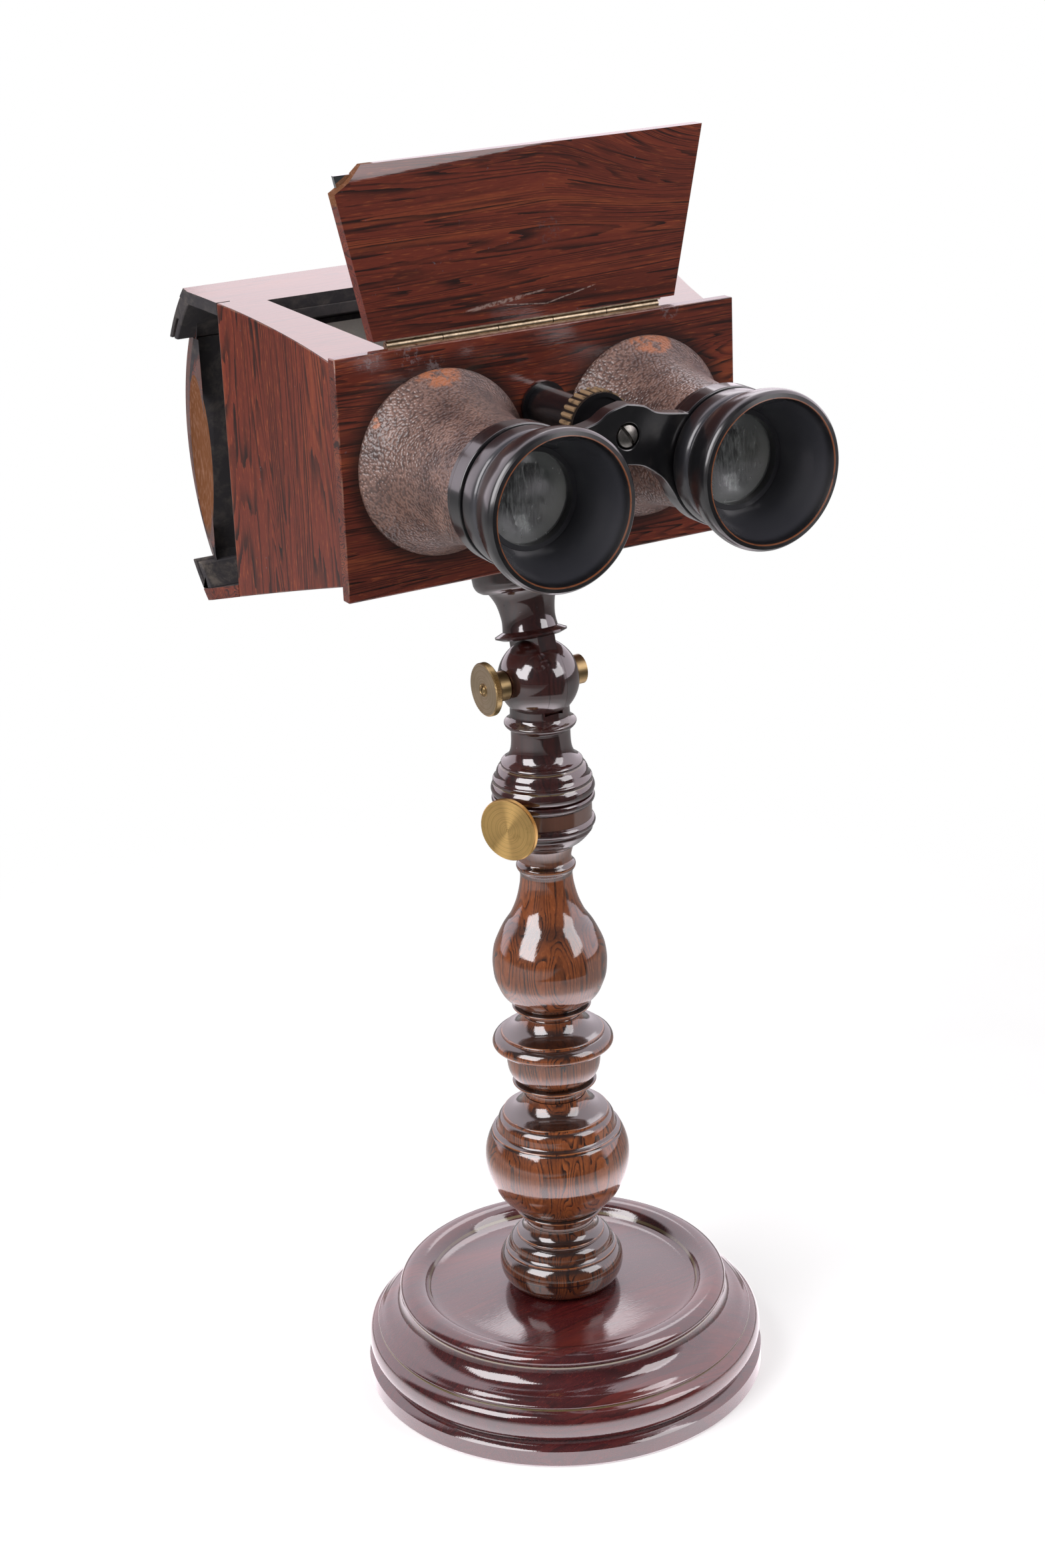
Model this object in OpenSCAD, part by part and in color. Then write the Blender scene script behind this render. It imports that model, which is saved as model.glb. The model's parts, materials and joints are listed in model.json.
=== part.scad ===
// Pedestal stereoscope: a card viewer with a hinged mirror lid on a turned stand.
// Millimetres, +Z up. The origin is the centre of the base's underside.
// The eyepieces look towards -Y, the ground glass towards +Y, and left is -X.

/* [Base] */
// Diameter of the turned base
base_d = 142; // [130:1:156]
// Height of the straight plinth
plinth_h = 7; // [5:0.5:9]
// Height of the large torus above the plinth
base_torus_h = 11.6; // [9:0.2:14]
// Height of the ogee above the large torus
base_ogee_h = 10.4; // [8:0.2:13]
// Height of the raised rim round the dish
base_rim_h = 5; // [3.5:0.5:6.5]
// Depth of the dish from the crest of the rim to the seat of the column
dish_depth = 2.8; // [2:0.2:3.4]
// Height of the groove cut between two turned members
groove_h = 0.8; // [0.4:0.1:1.2]

/* [Column] */
// Diameter of the column's foot
foot_d = 44; // [40:1:48]
// Height of the column's foot
foot_h = 14.2; // [11:0.2:16]
// Diameter of the steps between the foot and the bulb
ankle_d = 39.2; // [35:0.2:40]
// Height of the steps between the foot and the bulb
ankle_h = 12.6; // [11:0.2:16]
// Greatest diameter of the bulb
bulb_d = 51; // [46:1:56]
// Height of the bulb
bulb_h = 48; // [44:1:52]
// Diameter of the bead above the bulb
bead_d = 29.4; // [26:0.2:32]
// Height of the bead above the bulb
bead_h = 6; // [4:0.2:8]
// Greatest diameter of the cup
cup_d = 42.2; // [38:0.2:46]
// Height of the cup
cup_h = 24.6; // [20:0.2:28]
// Diameter of the bead under the vase
vase_bead_d = 27.4; // [24:0.2:30]
// Height of the bead under the vase
vase_bead_h = 4.4; // [4:0.2:6]
// Greatest diameter of the vase
vase_d = 39.6; // [36:0.2:43]
// Height of the vase
vase_h = 48; // [42:1:54]
// Diameter of the ring on the neck
neck_ring_d = 20.4; // [19:0.2:22]
// Height of the ring on the neck
neck_ring_h = 5.2; // [4:0.2:6]
// Height of the neck above its ring
neck_h = 5.4; // [4:0.2:8]
// Diameter of the tenons between the base, the bulb and the cup
tenon_d = 15; // [12:0.5:17]
// Length of each tenon
tenon_len = 13; // [10:0.5:16]

/* [Height clamp] */
// Diameter of the collar that holds the clamp screw
collar_d = 35; // [32:0.1:37]
// Height of the collar
collar_h = 18.8; // [16:0.1:20]
// Diameter of the spigot inside the collar
spigot_d = 16; // [14.5:0.1:17]
// Length of the spigot inside the collar
spigot_len = 8; // [6:0.2:8.4]
// Height of the clamp screw above the underside of the collar
clamp_rise = 12.9; // [12.6:0.1:13.2]
// Direction in which the clamp screw points, from +X towards +Y
clamp_angle = 208; // [180:1:270]
// Diameter of the clamp screw
clamp_screw_d = 5; // [4:0.1:6]
// Diameter of the threaded bush in the collar
clamp_bush_d = 8; // [7:0.1:8.6]
// Diameter of the clamp knob
clamp_knob_d = 21.6; // [18:0.2:24]
// Thickness of the clamp knob
clamp_knob_t = 2.2; // [1.8:0.1:3]
// Gap between the collar and the clamp knob
clamp_reach = 4.3; // [4:0.1:7]

/* [Stem and tilt joint] */
// Diameter of the rod that slides in the column
rod_d = 11; // [9:0.1:12]
// Length of the rod
rod_len = 118; // [100:1:122]
// Length of the rod held inside the bell
rod_hold = 12; // [8:0.5:16]
// Diameter of the bell under the tilt joint
bell_d = 35.2; // [33:0.1:38]
// Height of the bell
bell_h = 21.7; // [20:0.1:26]
// Diameter of the bead on the bell
fork_bead_d = 24.4; // [22:0.2:26]
// Height of the bead on the bell
fork_bead_h = 6.2; // [5:0.2:7]
// Diameter of the neck under the ball
fork_neck_d = 20; // [19:0.2:22]
// Height of the neck under the ball
fork_neck_h = 3; // [2:0.1:4]
// Diameter of the split ball
ball_d = 27.5; // [26:0.1:30]
// Thickness of the tongue in the split ball
tongue_t = 6.6; // [5:0.1:8]
// Diameter of the tilt screw
tilt_screw_d = 4.5; // [4:0.1:5]
// Diameter of the tilt nut and of the boss under the tilt knob
tilt_boss_d = 10; // [8:0.2:12]
// Diameter of the tilt knob
tilt_knob_d = 18.1; // [15:0.1:20]
// Thickness of the tilt knob
tilt_knob_t = 2.5; // [2:0.1:4]
// Gap between the ball and the tilt knob
tilt_reach = 4.8; // [3:0.1:7]

/* [Head socket] */
// Distance from the ball's centre to the floor board, along the socket
socket_rise = 42.9; // [40:0.1:46]
// Diameter of the sharp ring at the foot of the socket
socket_ring_d = 24.2; // [22:0.2:26]
// Thickness of that ring
socket_ring_t = 2.4; // [2:0.1:3]
// Diameter of the socket's neck
socket_neck_d = 20; // [18:0.2:21.4]
// Diameter of the flange under the floor board
flange_d = 33.6; // [30:0.2:36]
// Height of the flange
flange_h = 12.5; // [10:0.1:14]
// Diameter of the screws that hold the flange
flange_screw_d = 3; // [2.5:0.1:3.5]
// Length of the screws that hold the flange
flange_screw_len = 12; // [9:0.5:14]
// Number of screws that hold the flange
flange_screw_count = 4; // [3:1:6]

/* [Case] */
// Width of the case behind the front board
case_front_w = 138.4; // [132:0.2:142]
// Height of the case between floor and roof, above the tilt axis
case_h = 72.2; // [68:0.2:76]
// Slope of the floor, falling towards the back
floor_slope = 14.6; // [13:0.1:16]
// Slope of the roof, rising towards the back
roof_slope = 12.4; // [11:0.1:14]
// Radius of the flare of the side walls
flare_r = 200; // [180:1:230]
// Distance from the front of the flare to the front board
flare_lead = 12.5; // [8:0.5:16]
// Thickness of the floor and the roof
board_t = 4; // [3.5:0.1:4.5]
// Thickness of the side walls
wall_t = 4.5; // [4:0.1:5]
// Distance from the tilt axis to the back of the front board
case_front_y = 5.8; // [5:0.1:7]
// Distance from the tilt axis to the plane of the stereo card
card_y = 53.6; // [51:0.2:56]
// Free depth of the card slot
card_gap = 5.4; // [4.8:0.1:6]
// Depth of the strips that the card stands against
card_guide_w = 3.4; // [2.5:0.1:4]
// Height of the strips that the card stands against
card_guide_h = 3.9; // [3:0.1:5]
// Depth of the strips behind the card
card_stop_w = 2; // [1.5:0.1:2.5]
// Length of the strips behind the card
card_stop_len = 120; // [100:1:130]
// Thickness of the partition between the two views
septum_t = 2.5; // [2:0.1:3]
// Depth of the partition between the two views
septum_len = 35.8; // [30:0.2:42]

/* [Front board] */
// Width of the front board
front_w = 145.3; // [142:0.1:150]
// Height of the front board
front_h = 77.5; // [76:0.1:82]
// Thickness of the front board
front_t = 4.4; // [4:0.1:5]
// Distance between the two lens axes
lens_pitch = 74; // [70:0.2:76]
// Height of the lens axes above the middle of the front board
lens_lift = 1.1; // [0:0.1:2]

/* [Window and lid] */
// Width of the roof window at the tilt axis
window_w = 94; // [88:0.5:98]
// Widening of the roof window on each side, per millimetre towards the back
window_spread = 0.289; // [0.2:0.001:0.32]
// Distance from the hinge to the front of the roof window
window_lead = 2.6; // [2:0.1:4]
// Height of the hinge axis above the roof
hinge_rise = 2.2; // [2.1:0.1:2.6]
// Outside diameter of the hinge knuckles
knuckle_d = 2.6; // [2.2:0.1:2.8]
// Diameter of the hinge pin
pin_d = 1.4; // [1.2:0.1:1.6]
// Thickness of the hinge leaves
leaf_t = 0.6; // [0.4:0.1:0.6]
// Width of the leaf on the roof
leaf_w = 4.8; // [4.4:0.1:5.2]
// Margin between the lid's faces and the leaf under its edge
leaf_margin = 0.5; // [0.3:0.1:0.9]
// Length of the hinge
hinge_len = 100; // [90:1:106]
// Width of the lid at the hinge
lid_root_w = 110; // [108:0.5:112]
// Width of the lid at its free edge
lid_tip_w = 134; // [128:0.5:138]
// Length of the lid
lid_len = 54; // [50:0.5:58]
// Thickness of the lid
lid_t = 4.5; // [4:0.1:5]
// Width of the piece broken from the lid's left corner
chip_w = 12.2; // [8:0.2:14]
// Height of the piece broken from the lid's left corner
chip_h = 9.4; // [6:0.2:12]
// Height of the worn bevel at the lid's left end
wear_h = 5; // [0:0.2:8]
// Depth of the worn bevel at the lid's left end
wear_depth = 2.6; // [0:0.1:3]
// Distance from the middle of the lid at which the bevel dies out
wear_end = 30; // [10:1:50]
// Thickness of the mirror let into the lid
mirror_t = 1.4; // [1.2:0.1:2]
// Margin of wood round the mirror
mirror_margin = 2.6; // [2:0.1:4]

/* [Back] */
// Radius of the rounded back
back_r = 70; // [68:0.2:73]
// Distance from the tilt axis to the centre of the rounded back
back_y = 22; // [20:0.2:24]
// Drop from the lens axes to the centre of the rounded back
back_drop = 2.7; // [1:0.1:4]
// Thickness of the rails
rail_t = 5.5; // [5:0.1:6]
// Depth of the upper rail below the roof
top_rail_h = 13.4; // [12:0.1:15]
// Height of the lower rail above the floor
bottom_rail_h = 6.9; // [6.4:0.1:8]
// Distance from the tilt axis to the ends of the rails' corner with the roof
rail_y = 65; // [62:0.2:67]
// Width of the sliding back
back_w = 162; // [150:0.5:168]
// Distance from the tilt axis to the flat face of the sliding back
back_face_y = 77; // [76:0.1:78]
// Width of the end blocks of the sliding back
end_block_w = 11; // [9:0.2:13]
// Thickness of the thin bars above and below the ground glass
bar_t = 1.8; // [1.4:0.1:2.4]
// Thickness of the tongues that run in the rails
slide_tongue_t = 1; // [0.8:0.1:1.4]
// Height of the tongues that run in the rails
slide_tongue_h = 7.2; // [5:0.1:7.6]
// Depth from the rounded back to the tongues
slide_tongue_in = 1.9; // [1.5:0.1:2.3]
// Thickness of the ground glass
glass_t = 2; // [1.6:0.1:2.4]
// Depth of the ground glass behind the flat face
glass_inset = 1; // [0.6:0.1:1.6]
// Depth of the ground glass in the end blocks
glass_hold = 1.4; // [1:0.1:2]
// Radius of the finger scoops in the end blocks
scoop_r = 7; // [5:0.2:8]
// Distance from the end blocks to the centre of the scoops
scoop_out = 2.5; // [1.5:0.1:4]
// Depth of the centre of the scoops below the rounded back
scoop_in = 1; // [0:0.1:2]
// Height of the finger scoops
scoop_h = 60; // [50:1:64]

/* [Barrels and eyepieces] */
// Diameter of the bell of a barrel on the front board
barrel_bell_d = 59.6; // [56:0.2:62]
// Diameter of a barrel at its mouth, over the leather
barrel_mouth_d = 40.4; // [40:0.1:43]
// Length of a barrel
barrel_len = 42; // [38:0.5:46]
// Thickness of the leather on the barrels
leather_t = 0.9; // [0.6:0.1:1]
// Depth of the barrels' spigots in the front board
barrel_spigot_d = 40; // [39:0.2:44]
// Diameter of the draw tubes
tube_d = 36; // [34:0.1:36.4]
// Wall of the draw tubes
tube_wall = 1; // [0.8:0.1:1.5]
// Length of the draw tubes
tube_len = 39; // [34:0.5:42]
// Diameter of the stop ring on a draw tube
stop_d = 43; // [42:0.1:44.4]
// Thickness of the stop ring on a draw tube
stop_t = 2.5; // [2:0.1:3]
// Diameter of the bridge's rings round the eyepieces
yoke_d = 44.6; // [43:0.1:46]
// Thickness of the bridge
yoke_t = 6.2; // [5:0.1:7.5]
// Height of the bridge's web above the focus screw
web_rise = 10; // [7:0.1:11]
// Depth of the bridge's web below the focus screw
web_drop = 9; // [6:0.1:10]
// Diameter of the bridge's seat on an eyepiece
yoke_seat_d = 40; // [38:0.1:41]
// Diameter of the ring behind an eyecup
cup_ring_d = 44; // [42:0.1:46]
// Height of the ring behind an eyecup
cup_ring_h = 8.6; // [7:0.1:10]
// Diameter of an eyecup at its mouth
eyecup_d = 50.4; // [47:0.2:53]
// Length of an eyecup's flare
eyecup_h = 15.3; // [12:0.1:18]
// Diameter of the sharp inner edge of an eyecup
eyecup_mouth_d = 45.4; // [43:0.2:47.4]
// Diameter of the lenses
lens_d = 31.8; // [30:0.1:33]
// Free diameter of the lenses
lens_clear_d = 28.6; // [27:0.1:29.2]
// Thickness of the lenses at the edge
lens_edge_t = 2; // [1.5:0.1:3]
// Bulge of each lens face
lens_bulge = 2; // [1:0.1:2.6]
// Height of the ring in front of a lens
lens_ring_h = 3.2; // [2.6:0.1:4]
// Thickness of the shoulder behind a lens
lens_shoulder_t = 1.9; // [1.5:0.1:3]

/* [Focus] */
// Height of the focus screw above the lens axes
focus_lift = 12.4; // [11:0.1:14]
// Diameter of the focus screw's housing
housing_d = 13.2; // [11:0.2:14]
// Length of the housing
housing_len = 27.5; // [24:0.5:30]
// Diameter of the focus wheel
wheel_d = 22.6; // [20:0.2:25]
// Width of the focus wheel
wheel_w = 7.6; // [6:0.2:9]
// Number of ribs on the focus wheel
wheel_ribs = 28; // [20:1:40]
// Depth of the ribs
rib_depth = 0.7; // [0.4:0.1:1]
// Diameter of the focus screw
focus_screw_d = 5; // [4:0.1:6]
// Length of the focus screw
focus_screw_len = 43; // [38:0.5:46]
// Diameter of the slotted head in the bridge
slotted_head_d = 7.6; // [6.5:0.1:8]
// Diameter of the recess for that head
slotted_recess_d = 8.2; // [8:0.1:9]

/* [Clearances] */
// Radial clearance of a shaft or tube in its bore
run_gap = 0.08; // [0.05:0.01:0.1]
// Gap between faces that slide past each other
slide_gap = 0.3; // [0.2:0.05:0.4]
// Radial clearance of a glued tenon
glue_gap = 0.05; // [0.02:0.01:0.1]

/* [Hidden] */
$fn = 96;
// Steps of a turned curve between two of its points
curve_steps = 4;
// A cutter reaches this far past the face that it opens
past = 1;

// Outlines of the turned members, bottom to top: share of the radius, share of the height
torus_shape = [[0.945, 0], [0.975, 0.12], [0.994, 0.48], [0.98, 0.84], [0.938, 1]];
ogee_shape = [[0.942, 0], [0.945, 0.1], [0.927, 0.2], [0.904, 0.32], [0.87, 0.42],
    [0.839, 0.57], [0.82, 0.78], [0.811, 1]];
rim_shape = [[0.811, 0], [0.825, 0.36], [0.815, 0.68], [0.789, 0.92], [0.761, 1],
    [0.725, 0.94], [0.697, 0.7], [0.68, 0.36]];
foot_shape = [[0.75, 0], [0.832, 0.063], [0.905, 0.162], [0.959, 0.296], [0.991, 0.451],
    [1, 0.62], [0.986, 0.754], [0.955, 0.859], [0.918, 0.93], [0.902, 0.951]];
foot_edge = [[0.902, 0.979], [0.898, 0.996]];
ankle_band = [[0.995, 0.008], [0.964, 0.04], [0.936, 0.111], [0.923, 0.198], [0.903, 0.286],
    [0.862, 0.357], [0.816, 0.405], [0.798, 0.417]];
ankle_disc = [[0.796, 0.456], [0.786, 0.48], [0.74, 0.512], [0.689, 0.571], [0.653, 0.659],
    [0.63, 0.77], [0.625, 0.817]];
ankle_neck = [[0.612, 0.825], [0.607, 0.913], [0.617, 1]];
bulb_foot = [[0.482, 0.013], [0.514, 0.027], [0.565, 0.037], [0.6, 0.046], [0.612, 0.056],
    [0.612, 0.062], [0.596, 0.071], [0.573, 0.077]];
bulb_shape = [[0.569, 0.085], [0.612, 0.096], [0.678, 0.119], [0.745, 0.148], [0.816, 0.192],
    [0.882, 0.25], [0.941, 0.321], [0.984, 0.404], [1, 0.49], [0.988, 0.569], [0.953, 0.637],
    [0.914, 0.685], [0.9, 0.696]];
bulb_band = [[0.892, 0.709], [0.882, 0.716], [0.851, 0.722], [0.827, 0.735], [0.816, 0.758],
    [0.806, 0.787], [0.788, 0.812], [0.761, 0.83], [0.741, 0.836]];
bulb_disc = [[0.735, 0.85], [0.724, 0.858], [0.667, 0.867], [0.596, 0.88], [0.529, 0.902],
    [0.478, 0.931], [0.443, 0.965], [0.425, 0.996]];
bead_shape = [[0.721, 0], [0.704, 0.133], [0.711, 0.333], [0.762, 0.5], [0.864, 0.608],
    [0.952, 0.675], [0.993, 0.75], [1, 0.825], [0.98, 0.892], [0.898, 0.933], [0.857, 0.975]];
cup_body = [[0.597, 0.008], [0.635, 0.024], [0.692, 0.061], [0.735, 0.118], [0.763, 0.195],
    [0.777, 0.293], [0.782, 0.407], [0.784, 0.492]];
cup_lip = [[0.896, 0.51], [0.957, 0.524], [0.993, 0.553], [1, 0.589], [0.988, 0.63],
    [0.957, 0.671], [0.915, 0.699], [0.877, 0.713]];
cup_disc = [[0.86, 0.715], [0.855, 0.738], [0.834, 0.752], [0.758, 0.768], [0.664, 0.799],
    [0.583, 0.846], [0.521, 0.909], [0.486, 0.972], [0.481, 0.996]];
vase_bead = [[0.715, 0], [0.697, 0.159], [0.712, 0.364], [0.781, 0.5], [0.891, 0.58],
    [0.971, 0.648], [1, 0.739], [0.993, 0.83], [0.949, 0.886], [0.883, 0.943], [0.865, 1]];
vase_shape = [[0.596, 0.008], [0.646, 0.018], [0.717, 0.033], [0.788, 0.056], [0.864, 0.096],
    [0.919, 0.146], [0.98, 0.22], [1, 0.31], [0.995, 0.37], [0.965, 0.446], [0.894, 0.52],
    [0.803, 0.596], [0.722, 0.646], [0.644, 0.696], [0.54, 0.8], [0.47, 0.92], [0.451, 1]];
neck_ring = [[0.882, 0.038], [0.907, 0.25], [0.922, 0.317]];
neck_rim = [[0.946, 0.356], [0.985, 0.481], [1, 0.615], [0.99, 0.731], [0.951, 0.827],
    [0.902, 0.923], [0.877, 1]];
neck_shape = [[0.866, 0.05], [0.866, 0.35], [0.921, 0.75], [0.97, 1]];
collar_cup = [[0.56, 0], [0.64, 0.053], [0.766, 0.138], [0.863, 0.229], [0.92, 0.298]];
collar_ring = [[0.934, 0.314], [0.94, 0.335], [0.937, 0.367]];
collar_bead = [[0.943, 0.388], [0.977, 0.415], [1, 0.468], [0.983, 0.521], [0.96, 0.543]];
collar_band = [[0.937, 0.559], [0.937, 0.846]];
collar_top = [[0.96, 0.862], [0.989, 0.894], [1, 0.941], [0.986, 0.984], [0.966, 1]];
bell_lip = [[0.943, 0], [0.977, 0.032], [1, 0.088], [0.994, 0.138], [0.972, 0.184],
    [0.96, 0.198]];
bell_ridge = [[0.952, 0.217], [0.957, 0.244], [0.949, 0.272], [0.92, 0.295], [0.895, 0.336],
    [0.875, 0.392], [0.841, 0.442], [0.818, 0.461]];
bell_shape = [[0.787, 0.488], [0.79, 0.516], [0.767, 0.544], [0.699, 0.576], [0.631, 0.641],
    [0.588, 0.737], [0.571, 0.862], [0.568, 1]];
fork_bead = [[0.82, 0.081], [0.828, 0.21]];
fork_rim = [[0.869, 0.258], [0.934, 0.355], [0.984, 0.468], [1, 0.581], [0.98, 0.661],
    [0.918, 0.742], [0.861, 0.855], [0.828, 1]];
socket_shape = [[0.93, 0.02], [0.9, 0.3], [0.98, 0.66], [1.11, 0.88], [1.22, 1]];
flange_shape = [[0.82, 0], [0.91, 0.08], [0.964, 0.2], [0.982, 0.36], [1, 1]];
// A barrel's outside: share of the step from mouth to bell, share of the length
barrel_shape = [[1, 0], [0.98, 0.024], [0.83, 0.08], [0.59, 0.17], [0.35, 0.31], [0.16, 0.52],
    [0.04, 0.78], [0, 1]];
// An eyecup's flare: share of the step from ring to mouth, share of the length
eyecup_shape = [[-0.1, 0.02], [0.1, 0.1], [0.4, 0.25], [0.72, 0.46], [0.94, 0.66], [1, 0.8], [0.93, 0.91],
    [0.68, 0.98]];
// The ring behind an eyecup: share of its radius, share of its height
cup_ring_shape = [[0.93, 0], [0.985, 0.1], [1, 0.3], [1, 0.68], [0.98, 0.88], [0.93, 0.98]];

// An eyecup's funnel, from the mouth in: share of the step from lens to mouth, share of the depth
funnel_shape = [[0.95, 0.96], [0.62, 0.62], [0.24, 0.3], [0, 0]];
// The base's dish: share of the base's radius, share of the dish's depth above the seat
dish_shape = [[0.67, -0.5], [0.62, -0.7], [0.48, -0.5]];
// The bridge's web: share of the distance to the ring, share of the rise or of the drop
web_top_shape = [[0, 1], [0.41, 0.86], [0.68, 0.62], [1, 0.5]];
web_low_shape = [[0.93, 0.63], [0.72, 0.38], [0.37, 0.1], [0, 0]];

// Levels of the stand, from the floor up
torus_z = plinth_h + 2 * groove_h;
ogee_z = torus_z + base_torus_h;
rim_z = ogee_z + base_ogee_h + groove_h / 2;
seat_z = rim_z + base_rim_h - dish_depth;
ankle_z = seat_z + foot_h;
bulb_z = ankle_z + ankle_h;
bead_z = bulb_z + bulb_h;
cup_z = bead_z + bead_h;
vase_bead_z = cup_z + cup_h;
vase_z = vase_bead_z + vase_bead_h;
neck_ring_z = vase_z + vase_h;
neck_z = neck_ring_z + neck_ring_h;
collar_z = neck_z + neck_h;
clamp_z = collar_z + clamp_rise;
bell_z = collar_z + collar_h + slide_gap;
fork_bead_z = bell_z + bell_h;
fork_neck_z = fork_bead_z + fork_bead_h;
ball_r = ball_d / 2;
ball_z = fork_neck_z + fork_neck_h + sqrt(pow(ball_r, 2) - pow(fork_neck_d / 2, 2));

// Radii that several pieces share
base_r = base_d / 2;
collar_r = collar_d / 2;
rod_bore_r = rod_d / 2 + run_gap;
// The bush ends flush with the collar's narrow band
bush_end_r = collar_band[0][0] * collar_r;
clamp_knob_r0 = bush_end_r + clamp_reach;
seat_r = foot_shape[0][0] * foot_d / 2 + groove_h;
spot_x = sqrt(pow(ball_r, 2) - pow(tilt_boss_d / 2, 2));
knob_x = ball_r + tilt_reach;

// Planes of the case
floor_z0 = ball_z + socket_rise / cos(floor_slope);
roof_z0 = floor_z0 + case_h;
floor_rise = board_t / cos(floor_slope);
roof_drop = board_t / cos(roof_slope);
front_y = -case_front_y - front_t;
front_z = (roof_z(-case_front_y) + floor_z(-case_front_y)) / 2;
lens_z = front_z + lens_lift;
focus_z = lens_z + focus_lift;
flare_y = -case_front_y - flare_lead;
flare_x = case_front_w / 2 + sqrt(pow(flare_r, 2) - pow(flare_lead, 2));
back_z = lens_z - back_drop;
rail_x = side_x(rail_y);
far = 2 * back_r;

// Levels of the sliding back
rail_top_z = roof_z(rail_y) - roof_drop - top_rail_h;
rail_bottom_z = floor_z(rail_y) + floor_rise + bottom_rail_h;
frame_top_z = rail_top_z - slide_gap;
frame_bottom_z = rail_bottom_z + slide_gap;
tongue_out_r = back_r - slide_tongue_in;
tongue_in_r = tongue_out_r - slide_tongue_t;
glass_y = back_face_y + glass_inset;

// Hinge and lid
hinge_z = roof_z0 + hinge_rise / cos(roof_slope);
knuckle_r = knuckle_d / 2;
lid_back_y = hinge_rise - slide_gap;
lid_y = lid_back_y - lid_t;
lid_screw_len = 8;
leaf_z = knuckle_r + slide_gap;
lid_z = leaf_z + leaf_t;
knuckle_count = 5;
knuckle_len = hinge_len / knuckle_count;
hinge_screw_d = 1.4;
hinge_screw_head_d = 2.6;
hinge_screw_len = 3;
hinge_screw_count = 5;

// Levels of an eyepiece, from the front of the front board outwards
stop_h = barrel_len + slide_gap;
yoke_h = stop_h + stop_t;
ring_h = yoke_h + yoke_t;
eyecup_z = ring_h + cup_ring_h;
mouth_h = eyecup_z + eyecup_h;
lens_seat_h = yoke_h + yoke_t - lens_edge_t / 2;
tube_end_h = lens_seat_h - lens_shoulder_t;
lens_front_h = lens_seat_h + lens_edge_t;
funnel_h = lens_front_h + lens_ring_h;
lens_seat_r = lens_d / 2 + glue_gap;

// Focus screw, from the front of the front board outwards
wheel_h = housing_len + slide_gap;
slotted_depth = 1.8;
slot_w = 0.9;
screw_tip_h = ring_h - slotted_depth;

function roof_z(y) = roof_z0 + tan(roof_slope) * y;
function floor_z(y) = floor_z0 - tan(floor_slope) * y;
function side_x(y) = flare_x - sqrt(pow(flare_r, 2) - pow(y - flare_y, 2));

// A smooth curve through the points p
function spline_point(a, b, c, d, t) =
    0.5 * (2 * b + (c - a) * t + (2 * a - 5 * b + 4 * c - d) * t * t
        + (3 * b - a - 3 * c + d) * t * t * t);
function curve(p) =
    let (last = len(p) - 1)
    concat([for (i = [0 : last - 1], k = [0 : curve_steps - 1])
        spline_point(p[max(i - 1, 0)], p[i], p[i + 1], p[min(i + 2, last)], k / curve_steps)],
        [p[last]]);

// A member's outline at its real radius, level and height
function member(shape, r, z, h) = curve([for (p = shape) [r * p[0], z + h * p[1]]]);

// The same between two radii, for flares and bells
function flare(shape, r0, r1, z, h) =
    curve([for (p = shape) [r0 + (r1 - r0) * p[0], z + h * p[1]]]);

module turned(points) {
    rotate_extrude() polygon(points);
}

module along_x(w) {
    rotate([90, 0, 90]) translate([0, 0, -w / 2]) linear_extrude(w) children();
}

module toward_front(x, z) {
    translate([x, front_y, z]) rotate([90, 0, 0]) children();
}

module toward_clamp() {
    translate([0, 0, clamp_z]) rotate([0, 0, clamp_angle]) rotate([0, 90, 0]) children();
}

module tilt_axis() {
    translate([0, 0, ball_z]) rotate([0, 90, 0]) children();
}

module socket_axis() {
    translate([0, 0, ball_z]) rotate([-floor_slope, 0, 0]) children();
}

module hinge_axis() {
    translate([0, 0, hinge_z]) children();
}

// A disc whose edge has n ribs
module ribbed(r, depth, n, h) {
    linear_extrude(h) polygon([for (i = [0 : n - 1], k = [0 : 3])
        let (a = 360 * (i + k / 4) / n, edge = k < 2 ? r : r - depth)
        edge * [cos(a), sin(a)]]);
}

// A countersunk wood screw, its head's face at 0 and its shank downwards
module wood_screw(d, head_d, len) {
    head_h = (head_d - d) / 2;
    translate([0, 0, -len]) cylinder(h = len - head_h / 2, d = d, $fn = 24);
    translate([0, 0, -head_h]) cylinder(h = head_h, d1 = d, d2 = head_d, $fn = 24);
}

// Stand

module base() {
    edge = groove_h;
    color("#3a0f12") difference() {
        turned(concat(
            [[0, 0], [base_r - edge, 0], [base_r, edge], [base_r, plinth_h - edge],
                [base_r - edge, plinth_h]],
            member(torus_shape, base_r, torus_z, base_torus_h),
            member(ogee_shape, base_r, ogee_z, base_ogee_h),
            member(rim_shape, base_r, rim_z, base_rim_h),
            curve(concat([for (p = dish_shape) [base_r * p[0], seat_z + dish_depth * p[1]]],
                [[seat_r, seat_z]])),
            [[0, seat_z]]));
        translate([0, 0, seat_z - tenon_len - glue_gap])
            cylinder(h = tenon_len + glue_gap + past, r = tenon_d / 2 + glue_gap);
    }
}

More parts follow.
